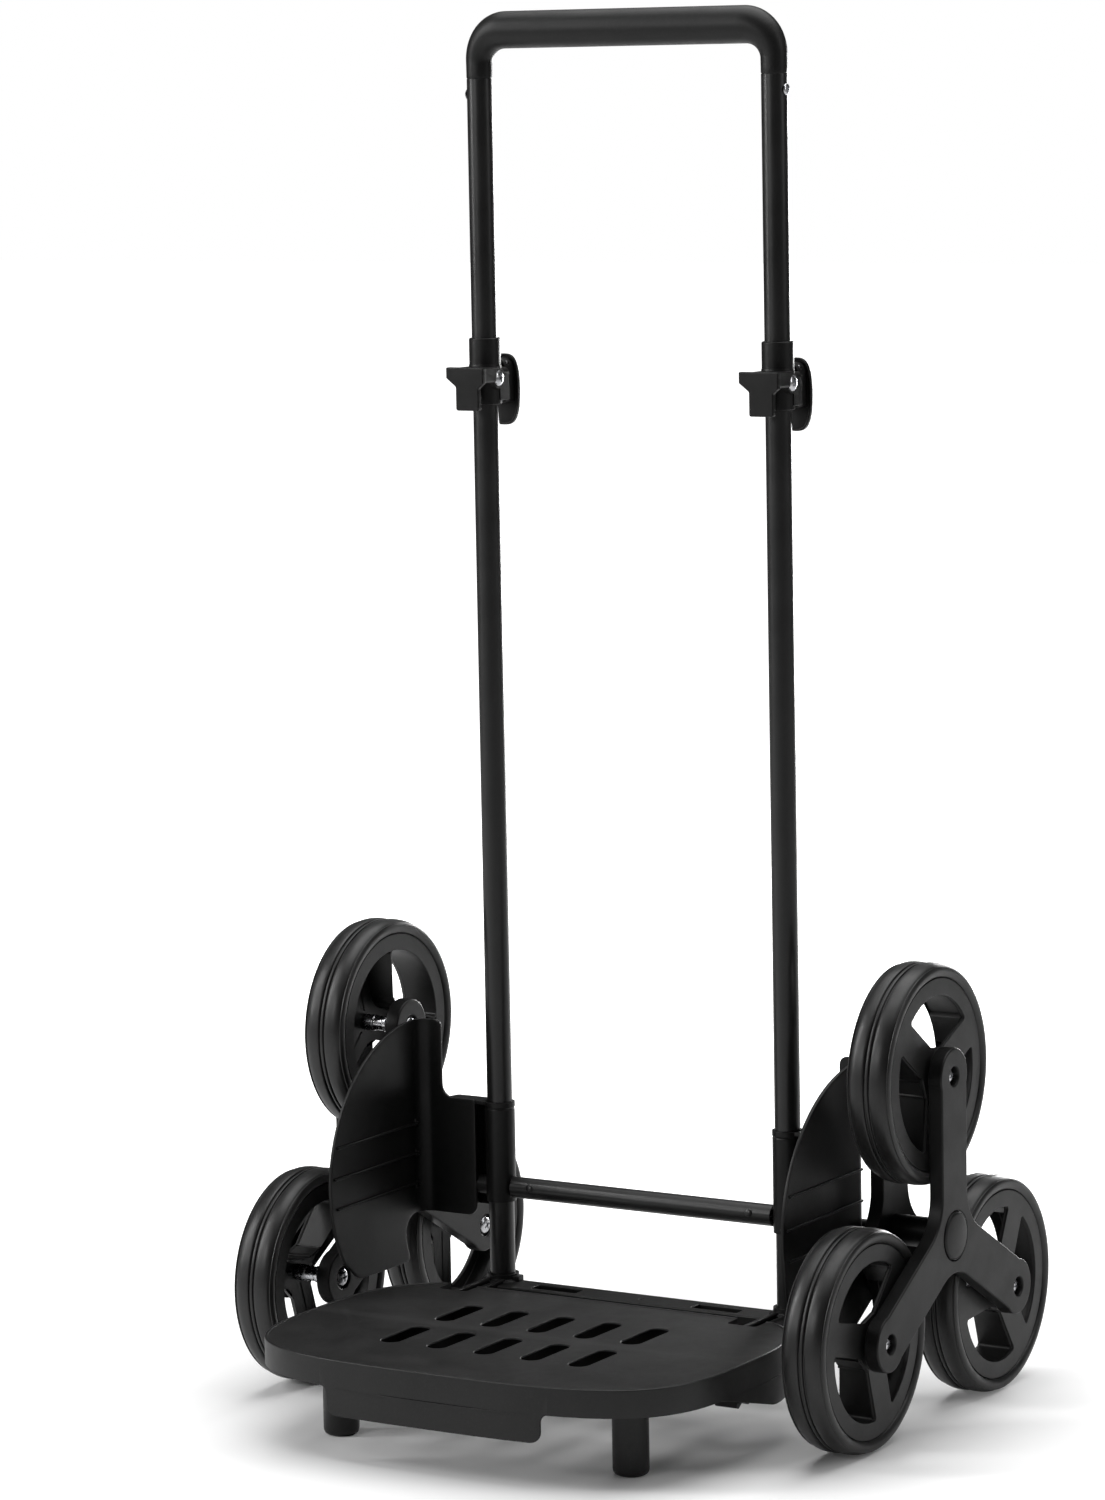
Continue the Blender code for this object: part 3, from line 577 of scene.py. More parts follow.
def window_outline(middle):
    """Opening between two spokes: parallel to the spokes and round at the rim."""
    inner_r, outer_r, half_spoke, corner, root_r = 0.0215, 0.0570, 0.0122, 0.0020, 0.003
    low = math.degrees(math.asin((half_spoke + corner) / (outer_r - corner)))
    first, last = middle - 60 + low, middle + 60 - low
    root_angle = math.degrees(math.asin((half_spoke + root_r) / inner_r))
    points = arc(polar(inner_r, middle - 60 + root_angle), root_r, middle + 240, middle + 210, 4)
    points += arc(polar(outer_r - corner, first), corner, middle - 150, first, 6)
    points += arc((0, 0), outer_r, first, last, 16)[1:-1]
    points += arc(polar(outer_r - corner, last), corner, last, middle + 150, 6)
    points += arc(polar(inner_r, middle + 60 - root_angle), root_r, middle + 150, middle + 120, 4)
    return points


def rim_mesh():
    """Outer skin with three spokes, a deep wall round each window, open cavities on the inner side."""
    middles = (60, 180, 300)
    windows = [window_outline(m) for m in middles]
    bore = circle(0.0044, steps=24)
    skin = slab(circle(0.0697, steps=128), 0.0118, 0.0150, 0, 0.0007, [*windows, bore], axis="X")
    barrel = spun([(0.0697, 0.0125), (0.0697, -0.0144), (0.0691, -0.0150), (0.0576, -0.0150),
                   (0.0571, -0.0145), (0.0571, 0.0125)], 128, "X", closed=True)
    parts = [skin, barrel]
    for outline in windows:
        frame_wall = slab(offset(outline, -0.0022), -0.0148, 0.0125, 0.0004, 0, [outline], axis="X",
                          steps=2)
        for vert in frame_wall.verts:
            radius = math.hypot(vert.co.y, vert.co.z)
            if vert.co.x < 0:
                vert.co.x += 0.0066 * min(1, max(0, (0.0565 - radius) / 0.036))
        parts.append(frame_wall)
    parts.append(spun(softened([(0.0044, 0.0140), (0.0100, 0.0140), (0.0095, 0.0178), (0.0044, 0.0178)],
                               0.0004), 40, "X", closed=True))
    for m in middles:
        rib = slab(oblong((0.0090, -0.0008), (0.0574, 0.0008)), 0.0040, 0.0124, 0.0003, 0, axis="X",
                   steps=2)
        bmesh.ops.rotate(rib, verts=rib.verts, matrix=Matrix.Rotation(math.radians(m + 60), 3, "X"))
        parts.append(rib)
    return merged("rim", parts)


def screw_mesh(radius, height, recess=True):
    """Pan head along +X from 0, plain or with a cross recess."""
    dome = [(radius * 0.93, 0), (radius, height * 0.18)]
    for i in range(1, 8):
        turn = math.pi / 2 * i / 8
        dome.append((radius * math.cos(turn), height * (0.18 + 0.82 * math.sin(turn))))
    dome.append((0, height))
    head = spun(dome, 32, "X")
    if not recess:
        return as_mesh(head, "screw")
    arm, wide = radius * 0.52, radius * 0.13
    cutters = []
    for across, along in ((arm, wide), (wide, arm)):
        corners = oblong((-across, -along), (across, along), wide * 0.6, steps=2)
        cutters.append(slab(corners, height * 0.45, height * 1.4, axis="X"))
    return merged("screw", [head], cutters)


def bracket_outline():
    """Three arms with round ends, joined by rounded inside corners."""
    arm, end_r, corner_r = 0.0190, 0.0205, 0.036
    reach = (arm + corner_r) / math.sin(math.radians(60))
    points = []
    for _, angle in WHEELS:
        points += arc(polar(HUB_R, angle), end_r, angle - 111, angle + 111, 32)
        middle = angle + 60
        points += arc(polar(reach, middle), corner_r, middle + 210, middle + 150, 16)
    return points


def bracket_plate(radius, floor, more=()):
    """Bracket with a round pocket and a bore at each wheel axle, and more pockets."""
    pockets = []
    for _, angle in WHEELS:
        hub = polar(HUB_R, angle)
        pockets.append((circle(radius, hub, 40), floor, [circle(0.0044, hub, 20)]))
    return slab(bracket_outline(), 0.0185, 0.0295, 0.0008, 0.0013, pockets=[*pockets, *more], axis="X",
                steps=4)


def bracket_meshes():
    cap_seat = (circle(0.0180, steps=72), 0.0274, [circle(0.0095, steps=32)])
    outer = bracket_plate(0.0070, 0.0242, [cap_seat])
    inner = bracket_plate(0.0085, 0.0270)
    bmesh.ops.transform(inner, matrix=Matrix.Rotation(math.pi, 4, "Z"), verts=inner.verts)
    bmesh.ops.transform(inner, matrix=Matrix.Scale(-1, 4, (0, 1, 0)), verts=inner.verts)
    sleeve = spun(softened([(0.0046, -0.0200), (0.0112, -0.0200), (0.0110, 0.0182), (0.0046, 0.0182)],
                           0.0004), 48, "X", closed=True)
    bore = rod(0.0046, -0.035, -0.010, 32, "X")
    return as_mesh(outer, "bracket_outer"), merged("bracket_inner", [inner, sleeve], [bore])


def cap_mesh():
    profile = [(0.0176, 0.0278), (0.0176, 0.0296), (0.0172, 0.0301), (0.0167, 0.0303), (0.0164, 0.0300),
               (0.0161, 0.0303), (0.0150, 0.0306), (0.0110, 0.0311), (0.0060, 0.0314), (0, 0.0315)]
    return as_mesh(spun(profile, 72, "X"), "cap")


def make_clusters():
    tyre, rim, cap = tyre_mesh(), rim_mesh(), cap_mesh()
    outer, inner = bracket_meshes()
    screw = screw_mesh(0.0052, 0.0030)
    bolt_head = screw_mesh(0.0068, 0.0034)
    for name, side in SIDES:
        turn = SIDE_TURN[side]
        centre = (side * CLUSTER_X, TUBE_Y, AXLE_Z)
        for mesh, part in ((outer, "bracket_outer_"), (inner, "bracket_inner_"), (cap, "hub_cap_")):
            stand_in(part + name, mesh, BRACKET_PLASTIC, turn, centre)
        for place, angle in WHEELS:
            spot = name + "_" + place
            y, z = polar(HUB_R, angle)
            hub = (centre[0], centre[1] + y, centre[2] + z)
            phase = SPOKE_ANGLE[spot] if side > 0 else 180 - SPOKE_ANGLE[spot]
            spokes = rim.copy()
            spokes.transform(Matrix.Rotation(math.radians(phase), 4, "X"))
            stand_in("tyre_" + spot, tyre, TYRE, turn, hub)
            stand_in("rim_" + spot, spokes, RIM_PLASTIC, turn, hub)
            tilt = Matrix.Rotation(math.radians(25 + 70 * len(spot)), 4, "X")
            at = turn @ Vector((0.0243, 0, 0)) + Vector(hub)
            stand_in("axle_screw_" + spot, screw, ZINC, turn @ tilt, at)
            shank = spun(softened([(0.0040, -0.0270), (0.0040, -0.0090), (0.0062, -0.0090),
                                   (0.0062, -0.0060), (0.0055, -0.0052), (0.0055, 0.0020),
                                   (0.0062, 0.0028), (0.0062, 0.0110), (0.0040, 0.0110),
                                   (0.0040, 0.0236)], 0.0003), 48, "X")
            stand_in("wheel_axle_" + spot, shank, ZINC, turn, hub)
            flip = turn @ Matrix.Rotation(math.pi, 4, "Z") @ tilt
            at = turn @ Vector((-0.0272, 0, 0)) + Vector(hub)
            piece("axle_head_" + spot, bolt_head, ZINC, body_of("wheel_axle_" + spot), (), flip, at)


# ---- tubes and grip

def make_tubes():
    for name, side in SIDES:
        at = (side * TUBE_X, TUBE_Y, 0)
        low, high = (corner.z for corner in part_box("lower_tube_" + name))
        stand_in("lower_tube_" + name, tube(BORE_R, TUBE_R, low, high, 0.0004, 64, "Z", True), PAINT,
                 place=at)
        low, high = (corner.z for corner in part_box("handle_tube_" + name))
        profile = softened([(SPIGOT_BORE_R, low), (SPIGOT_R, low), (SPIGOT_R, SPIGOT_TOP),
                            (TUBE_R, SPIGOT_TOP), (TUBE_R, high), (BORE_R, high),
                            (BORE_R, SPIGOT_TOP + 0.02), (SPIGOT_BORE_R, SPIGOT_TOP + 0.016)], 0.0003)
        stand_in("handle_tube_" + name, spun(profile, 64, closed=True), PAINT, place=at)


def make_grip():
    """U grip: legs flush with the tubes, swelling into an oval top bar."""
    bar_r, bend = 0.0136, 0.0235
    bar_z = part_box("handle_grip")[1].z - bar_r
    seam = 0.9665
    stations = [(TUBE_X, seam, 0, 0.0), (TUBE_X, seam + 0.0006, 0, 0.0), (TUBE_X, seam + 0.004, 0, 0.02)]
    steps = 24
    for i in range(steps + 1):
        angle = math.radians(90 * i / steps)
        stations.append((TUBE_X - bend + bend * math.cos(angle), bar_z - bend + bend * math.sin(angle),
                         angle, 0.10 + 0.90 * i / steps))
    stations += [(x, bar_z, math.pi / 2, 1.0) for x in (0.085, 0.060, 0.030, 0.0)]
    other = [(-x, z, math.pi - angle, swell) for x, z, angle, swell in reversed(stations[:-1])]
    bm = bmesh.new()
    rings = []
    count = 56
    whole = stations + other
    for i, (x, z, angle, swell) in enumerate(whole):
        blend = swell * swell * (3 - 2 * swell)
        radius = TUBE_R + 0.0001 + (bar_r - TUBE_R - 0.0001) * blend
        if i in (0, len(whole) - 1):
            radius -= 0.0005
        out = Vector((math.cos(angle), 0, math.sin(angle)))
        loop = []
        for k in range(count):
            turn = 2 * math.pi * k / count
            point = Vector((x, 0, z)) + out * radius * math.cos(turn)
            point.y += radius * math.sin(turn)
            loop.append(bm.verts.new(point))
        rings.append(loop)
    for here, there in zip(rings, rings[1:]):
        bridge(bm, here, there)
    bm.faces.new(rings[0])
    bm.faces.new(rings[-1])
    plug = [(0, seam - 0.030), (0.0080, seam - 0.030), (0.0080, seam - 0.0030),
            (0.0091, seam - 0.0022), (0.0091, seam + 0.0010), (0, seam + 0.0010)]
    plugs = [shifted(spun(plug, 48), (side * TUBE_X, 0, 0)) for _, side in SIDES]
    stand_in("handle_grip", merged("grip", [bm, *plugs]), GRIP_PLASTIC, place=ROOT)
    screw = screw_mesh(0.0042, 0.0019)
    for name, side in SIDES:
        at = (side * (TUBE_X + 0.0094), TUBE_Y, 0.955)
        stand_in("grip_screw_" + name, screw, ZINC, SIDE_TURN[side] @ Matrix.Rotation(0.6, 4, "X"),
                 at)


def make_crossbar():
    half, radius, rivet_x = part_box("crossbar")[1].x, 0.0080, 0.094
    bar = tube(0.0063, radius, -half, half, 0.0004, 64, closed=True)
    stand_in("crossbar", bar, PAINT, place=(0, TUBE_Y, AXLE_Z))
    head = screw_mesh(0.0030, 0.0013, recess=False)
    lean, turn = Matrix.Rotation(-0.25, 4, "X"), Matrix.Rotation(-math.pi / 2, 4, "Z")
    for name, side in SIDES:
        at = Vector((side * rivet_x, TUBE_Y, AXLE_Z)) + lean @ Vector((0, -radius + 0.0001, 0))
        stand_in("crossbar_rivet_" + name, head, PAINT, lean @ turn, at)


# ---- bent sheets

def inside(point, loop):
    """True if a point lies in a closed loop."""
    x, y = point
    hit = False
    for i in range(len(loop)):
        ax, ay = loop[i - 1]
        bx, by = loop[i]
        if (ay > y) != (by > y) and x < (bx - ax) * (y - ay) / (by - ay) + ax:
            hit = not hit
    return hit


def sheet(outline, thick, columns, rows, edge, bend, margin=0.0010, steps=2):
    """A thin wall cut from a flat outline, with rounded edges, then bent into shape.

    bend(u, v, w) gives the place of a flat point, w being the height above the middle
    surface.
    """
    flat = offset(outline, edge)
    border = offset(outline, edge + margin)
    points = list(flat)
    points += [Vector((u, v)) for u in columns for v in rows if inside((u, v), border)]
    count = len(flat)
    edges = [(i, (i + 1) % count) for i in range(count)]
    found, _, faces, origin, _, _ = delaunay_2d_cdt(points, edges, [list(range(count))], 1, 1e-8)
    place = {}
    for i, sources in enumerate(origin):
        for source in sources:
            place[source] = i
    half = thick / 2
    bm = bmesh.new()
    front, back = [], []
    for spot in found:
        front.append(bm.verts.new(bend(spot.x, spot.y, half)))
        back.append(bm.verts.new(bend(spot.x, spot.y, -half)))
    for face in faces:
        bm.faces.new([front[i] for i in face])
        bm.faces.new([back[i] for i in reversed(face)])
    rings = [[front[place[i]] for i in range(count)]]
    heights = edge_rings(-half, half, edge, edge, steps)
    for inset, height in heights[::-1][1:-1]:
        loop = offset(outline, inset)
        rings.append([bm.verts.new(bend(p[0], p[1], height)) for p in loop])
    rings.append([back[place[i]] for i in range(count)])
    for here, there in zip(rings, rings[1:]):
        bridge(bm, here, there)
    return bm


def between(start, end, steps):
    return [start + (end - start) * i / steps for i in range(steps + 1)]


# ---- wheel guards

GUARD_X, GUARD_BACK, GUARD_BEND = 0.1905, -0.0062, 0.012
BEND_LENGTH = GUARD_BEND * math.pi / 2
GUARD_FRONT = GUARD_BACK - GUARD_BEND            # where the side panel starts to bend
TAB_X, PANEL_END = 0.1706, 0.1411                # inner edges of the upper tab and the rear panel
BROW_Y, BROW_Z, BROW_LONG, BROW_TALL = -0.012, 0.150, 0.120, 0.1125    # curved upper front edge
RIB_LEVELS = (0.183, 0.160, 0.137)


def guard_bend(u, v, w):
    """Side panel for negative u, round bend, then the rear panel towards the upright."""
    flare = max(0.0, 0.134 - v)
    lean = 0.10 * flare * flare / 0.04 if u < BEND_LENGTH else 0.0
    if u < 0:
        return Vector((GUARD_X + w - lean, GUARD_FRONT + u, v))
    if u < BEND_LENGTH:
        turn = u / GUARD_BEND
        reach = GUARD_BEND + w
        return Vector((GUARD_X - GUARD_BEND + reach * math.cos(turn) - lean * math.cos(turn),
                       GUARD_FRONT + reach * math.sin(turn), v))
    return Vector((GUARD_X - GUARD_BEND - (u - BEND_LENGTH), GUARD_BACK + w, v))


def guard_outline():
    """Flat outline: curved front edge, upper tab, rear panel and the arch below."""
    def side(y):
        return y - GUARD_FRONT

    def rear(x):
        return BEND_LENGTH + (GUARD_X - GUARD_BEND) - x

    top, shelf, arch = 0.2625, 0.2035, 0.1145
    # bottom edge of the lower lobe, from the arch to the tip
    points = [(side(-0.0364), 0.0900)]
    points += [(side(y), z) for y, z in arc((-0.0414, 0.0862), 0.0050, 0, -90, 5)]
    points += [(side(-0.060), 0.0811), (side(-0.080), 0.0813)]
    points += [(side(y), z) for y, z in arc((-0.1020, 0.0935), 0.0120, -95, -158, 8)]
    points += [(side(-0.132 + 0.0155 * t * t), 0.150 - 0.063 * t) for t in (0.88, 0.7, 0.5, 0.3, 0.12)]
    for i in range(26):
        angle = math.radians(180 - 88 * i / 25)
        points.append((side(BROW_Y + BROW_LONG * math.cos(angle)), BROW_Z + BROW_TALL * math.sin(angle)))
    points += [(u, top) for u in between(side(-0.0125), rear(TAB_X) - 0.0065, 8)]
    points += arc((rear(TAB_X) - 0.006, top - 0.006), 0.006, 84, 0, 6)
    points += [(rear(TAB_X), z) for z in between(top - 0.010, 0.2170, 5)]
    points += arc((rear(TAB_X - 0.010), 0.2135), 0.010, 180, 270, 7)
    points += [(u, shelf) for u in between(rear(TAB_X - 0.0125), rear(PANEL_END + 0.003), 3)]
    points += arc((rear(PANEL_END) - 0.0015, shelf - 0.0015), 0.0015, 80, 0, 3)
    points += [(rear(PANEL_END), z) for z in between(shelf - 0.006, arch + 0.011, 6)]
    points += arc((rear(PANEL_END) - 0.008, arch + 0.008), 0.008, -6, -88, 7)
    points += [(u, arch) for u in between(rear(PANEL_END + 0.010), side(-0.0165), 12)]
    points += [(side(y), z) for y, z in arc((-0.0180, 0.0960), 0.0185, 95, 172, 9)]
    points += [(side(-0.0363), 0.0940)]
    return points[::-1]


def rib(level):
    """Slim ribs on both faces of the side panel, from its front edge to the bend."""
    reach = 0.1165
    if level > BROW_Z:
        reach = BROW_LONG * math.sqrt(1 - ((level - BROW_Z) / BROW_TALL) ** 2)
    front, back = BROW_Y - reach + 0.0035, GUARD_FRONT + 0.0035
    line = oblong((front, level - 0.0009), (back, level + 0.0009), 0.0003, steps=2)
    bar = slab(line, 0.1871, 0.1900, 0.0006, 0.0, axis="X")
    nub = slab(circle(0.0016, (back - 0.001, level), 16), 0.1862, 0.1900, 0.0005, 0.0, axis="X")
    outer = slab(line, 0.1912, 0.1936, 0.0, 0.0006, axis="X")
    return [bar, nub, outer]


def make_guards():
    columns = between(-0.125, -0.004, 36) + between(-0.002, BEND_LENGTH + 0.001, 16)
    columns += between(BEND_LENGTH + 0.004, 0.055, 9)
    rows = between(0.083, 0.261, 44)
    outline, on_axle = guard_outline(), (0, 0, AXLE_Z)
    for name, side in SIDES:
        panel = sheet(outline, 0.0028, sorted(columns), sorted(rows), 0.0008, guard_bend)
        sleeve = spun(softened([(0.0098, 0.1270), (0.0113, 0.1270), (0.0113, 0.1975), (0.0110, 0.1980),
                                (0.0110, 0.1987), (0.0115, 0.1992), (0.0115, 0.2030), (0.0098, 0.2030)],
                               0.0003, 2), 56, closed=True)
        sleeve = shifted(sleeve, (TUBE_X, 0, 0))
        shelf = slab(rounded([(0.1285, -0.0068, 0.0005), (0.1700, -0.0068, 0.0005), (0.1660, 0.0090, 0.003),
                              (0.1300, 0.0090, 0.001)]), 0.2000, 0.2030, 0.0005, 0.0006)
        web = slab(oblong((0.1280, 0.0050), (0.1480, 0.0070), 0.0002), 0.1215, 0.2015, 0.0004, 0.0002)
        cheek = slab(oblong((0.1460, -0.0065), (0.1480, 0.0070), 0.0002), 0.1215, 0.2015, 0.0004, 0.0002)
        foot = rod(0.0072, 0.1280, 0.1560, 40, "X", on_axle)
        fins = []
        for level in RIB_LEVELS:
            fins.append(slab(rounded([(0.1600, -0.0055, 0.0002), (0.1815, -0.0055, 0.0002),
                                      (0.1815, 0.0015, 0.003), (0.1640, 0.0060, 0.003)]),
                             level - 0.0008, level + 0.0008, 0.0003, 0.0003, steps=2))
            fins += rib(level)
        bore = rod(0.0098, 0.120, 0.210, 56, place=(TUBE_X, 0, 0))
        cross = rod(0.0048, 0.100, 0.200, 24, "X", on_axle)
        seat = rod(0.0083, 0.100, 0.1132, 40, "X", on_axle)
        mesh = merged("guard", [panel, sleeve, shelf, web, cheek, foot, *fins], [bore, cross, seat])
        if side < 0:
            mesh.transform(Matrix.Scale(-1, 4, (1, 0, 0)))
            mesh.flip_normals()
        stand_in("guard_" + name, mesh, FRAME_PLASTIC, place=ROOT)


# ---- clamps and levers

def make_clamps():
    lever_y, lever_z, screw_y, screw_z = 0.0180, 0.7570, -0.0020, 0.7470
    for name, side in SIDES:
        at = (side * TUBE_X, TUBE_Y, 0)
        collar = spun([(0.0099, 0.7275), (0.0117, 0.7275), (0.0121, 0.7279), (0.0121, 0.7562),
                       (0.0119, 0.7568), (0.0117, 0.7572), (0.0117, 0.7755), (0.0113, 0.7762),
                       (0.0106, 0.7765), (0.0099, 0.7765)], 56, closed=True)
        hook = rounded([(-0.0170, 0.7558, 0.0008), (-0.0170, 0.7478, 0.0012), (-0.0088, 0.7415, 0.0020),
                        (-0.0088, 0.7240, 0.0016), (0.0108, 0.7240, 0.0016), (0.0108, 0.7405, 0.0020),
                        (0.0150, 0.7440, 0.0012), (0.0150, 0.7558, 0.0008)], 3)
        plate = slab(hook, 0.0235, 0.0279, 0.0005, 0.0009, axis="Y")
        neck = slab(oblong((-0.0100, 0.7440), (0.0146, 0.7556), 0.0020, 0.0008), 0.0020, 0.0250, 0.0006, 0.0,
                    axis="Y")
        brace = slab(oblong((-0.0020, 0.7330), (0.0020, 0.7450), 0.0004), 0.0100, 0.0140, axis="Y")
        boss = rod(0.0078, 0.0060, 0.0131, 40, "X", (0, screw_y, screw_z))
        bore = rod(0.0099, 0.700, 0.800, 56)
        pocket = rod(0.0064, 0.0120, 0.0150, 32, "X", (0, screw_y, screw_z))
        ears = slab(oblong((-0.0105, 0.7300), (0.0128, 0.7545), 0.001, 0.004), -0.0125, 0.0, 0.0006, 0.0,
                    axis="Y")
        mesh = merged("clamp", [collar, plate, neck, brace, ears, boss], [bore, pocket])
        stand_in("clamp_" + name, mesh, FRAME_PLASTIC, place=at)
        spot = (side * TUBE_X + 0.0122, TUBE_Y + screw_y, screw_z)
        stand_in("clamp_screw_" + name, screw_mesh(0.0061, 0.0030), ZINC,
                 Matrix.Rotation(0.4 + side * 0.3, 4, "X"), spot)
        pin = shifted(tube(0.0011, 0.0015, -0.0078, 0.0078, 0.0003, 24), (0, lever_y, lever_z))
        stand_in("lever_pin_" + name, pin, ZINC, place=at)

        oval, rim = [], []
        for i in range(72):
            angle = 2 * math.pi * i / 72
            c, s = math.cos(angle), math.sin(angle)
            shape = (math.copysign(abs(c) ** 0.66, c), math.copysign(abs(s) ** 0.80, s))
            oval.append((0.0132 * shape[0], -0.0200 + 0.0265 * shape[1]))
            rim.append((0.0116 * shape[0], -0.0200 + 0.0249 * shape[1]))
        pad = slab(oval, -0.0103, -0.0063, 0.0012, 0.0006, pockets=[(rim, -0.0074, [])], axis="Y")
        arch = oblong((-0.0092, -0.0290), (0.0092, 0.0036), 0.0015, 0.0070, 8)
        cam = slab(arch, -0.0078, 0.0052, 0.0, 0.0012, axis="Y")
        mesh = merged("lever", [pad, cam], [rod(0.0018, -0.01, 0.01, 20, "X")])
        stand_in("release_lever_" + name, mesh, FRAME_PLASTIC,
                 place=(side * TUBE_X, TUBE_Y + lever_y, lever_z))


# ---- platform and base rail

PLATE_HALF, PLATE_MID_Y, PLATE_POWER = 0.182, -0.170, 3.4
PLATE_REACH = {-1: 0.1277, 1: 0.135}
PLATE_REAR_Y = -0.055
DECK_TOP, LIP_TOP, RIM_FOOT, APRON_FOOT = 0.0729, 0.0735, 0.0535, 0.0330
SKIRT = 0.0026
HINGE_Y, HINGE_Z = -0.060, 0.0625
FOOT_X, FOOT_Y = 0.121, -0.227
SLOT_PITCH, SLOT_ROWS = 0.0392, (-0.133, -0.2055)


def plate_outline(spacing=0.0065):
    """Rounded outline of the platform, anticlockwise, straight along its rear edge."""
    level = (PLATE_REAR_Y - PLATE_MID_Y) / PLATE_REACH[1]
    corner = PLATE_HALF * (1 - level ** PLATE_POWER) ** (1 / PLATE_POWER)
    fine = []
    steps = 3000
    for i in range(steps + 1):
        angle = math.pi * i / steps
        c, s = math.cos(angle - math.pi / 2), math.sin(angle - math.pi / 2)
        x = PLATE_HALF * abs(c) ** (2 / PLATE_POWER)
        y = PLATE_MID_Y + PLATE_REACH[1 if s > 0 else -1] * math.copysign(abs(s) ** (2 / PLATE_POWER), s)
        if y < PLATE_REAR_Y - 0.0030:
            fine.append(Vector((x, y)))
    right, run = [], spacing / 2
    for here, there in zip(fine, fine[1:]):
        run += (there - here).length
        if run >= spacing:
            right.append((there.x, there.y))
            run -= spacing
    rear = [(x, PLATE_REAR_Y) for x in between(corner, -corner, 14)]
    return right + rear + [(-x, y) for x, y in reversed(right)]


def skirt_path(outline, near):
    """Bends a flat skirt along the outline, with u measured from the point nearest to near."""
    count = len(outline)
    inner = offset(outline, SKIRT)
    start = min(range(count), key=lambda i: (Vector(outline[i]) - Vector(near)).length)
    along = (Vector(outline[(start + 1) % count]) - Vector(outline[start - 1])).normalized()
    base = (Vector(outline[start]) - Vector(near)).dot(along)
    places = {base: start}
    for sign in (-1, 1):
        run, last = 0.0, start
        for k in range(1, 30):
            here = (start + sign * k) % count
            run += (Vector(outline[here]) - Vector(outline[last])).length
            places[base + sign * run] = here
            last = here
    stops = sorted(places)

    def bend(u, v, w):
        for low, high in zip(stops, stops[1:]):
            if low <= u <= high:
                t = (u - low) / (high - low)
                first, second = places[low], places[high]
                out = Vector(outline[first]).lerp(Vector(outline[second]), t)
                back = inner[first].lerp(inner[second], t)
                spot = back.lerp(out, (w + SKIRT / 2) / SKIRT)
                return Vector((spot.x, spot.y, v))
        raise ValueError("the skirt is wider than its path")
    return stops, bend


def apron(outline):
    """Front flap below the rim."""
    stops, bend = skirt_path(outline, (0, -0.30))
    half, top = 0.0885, RIM_FOOT + 0.0030
    points = [(half + 0.006, top), (-half - 0.006, top), (-half - 0.006, RIM_FOOT)]
    points += arc((-half - 0.006, RIM_FOOT - 0.006), 0.006, 84, 0, 5) + [(-half, 0.0445)]
    points += arc((-half + 0.008, APRON_FOOT + 0.008), 0.008, 180, 270, 7)
    points += [(u, APRON_FOOT) for u in between(-half + 0.012, half - 0.012, 20)]
    points += arc((half - 0.008, APRON_FOOT + 0.008), 0.008, 270, 360, 7) + [(half, 0.0445)]
    points += arc((half + 0.006, RIM_FOOT - 0.006), 0.006, 180, 96, 5) + [(half + 0.006, RIM_FOOT)]
    return sheet(points, SKIRT, stops, between(APRON_FOOT + 0.001, top - 0.001, 8), 0.0005, bend)


def wing(outline, side):
    """Side skirt that deepens from the widest line towards the rear."""
    stops, bend = skirt_path(outline, (side * PLATE_HALF, -0.150))
    top = RIM_FOOT + 0.0030
    edge = [(-0.0560, RIM_FOOT), (-0.0450, 0.0515), (-0.0200, 0.0448), (0.0, 0.0395), (0.0200, 0.0342),
            (0.0260, 0.0334), (0.0340, 0.0332), (0.0520, 0.0332), (0.0550, 0.0340), (0.0562, 0.0365)]
    points = [(-0.0560, top), *edge, (0.0562, top)]
    points = points if side > 0 else [(-u, v) for u, v in reversed(points)]
    return sheet(points, SKIRT, stops, between(0.0345, top - 0.001, 8), 0.0005, bend)


def slot_outline(x, y, half_width=0.0079, half_length=0.0263):
    ends = half_length - half_width
    return arc((x, y + ends), half_width, 0, 180, 10) + arc((x, y - ends), half_width, 180, 360, 10)


def block(low, high, edge=0.0005, corner=0.0006):
    """Box with softened edges."""
    (x0, y0, z0), (x1, y1, z1) = low, high
    return slab(oblong((x0, y0), (x1, y1), corner, steps=3), z0, z1, edge, edge)


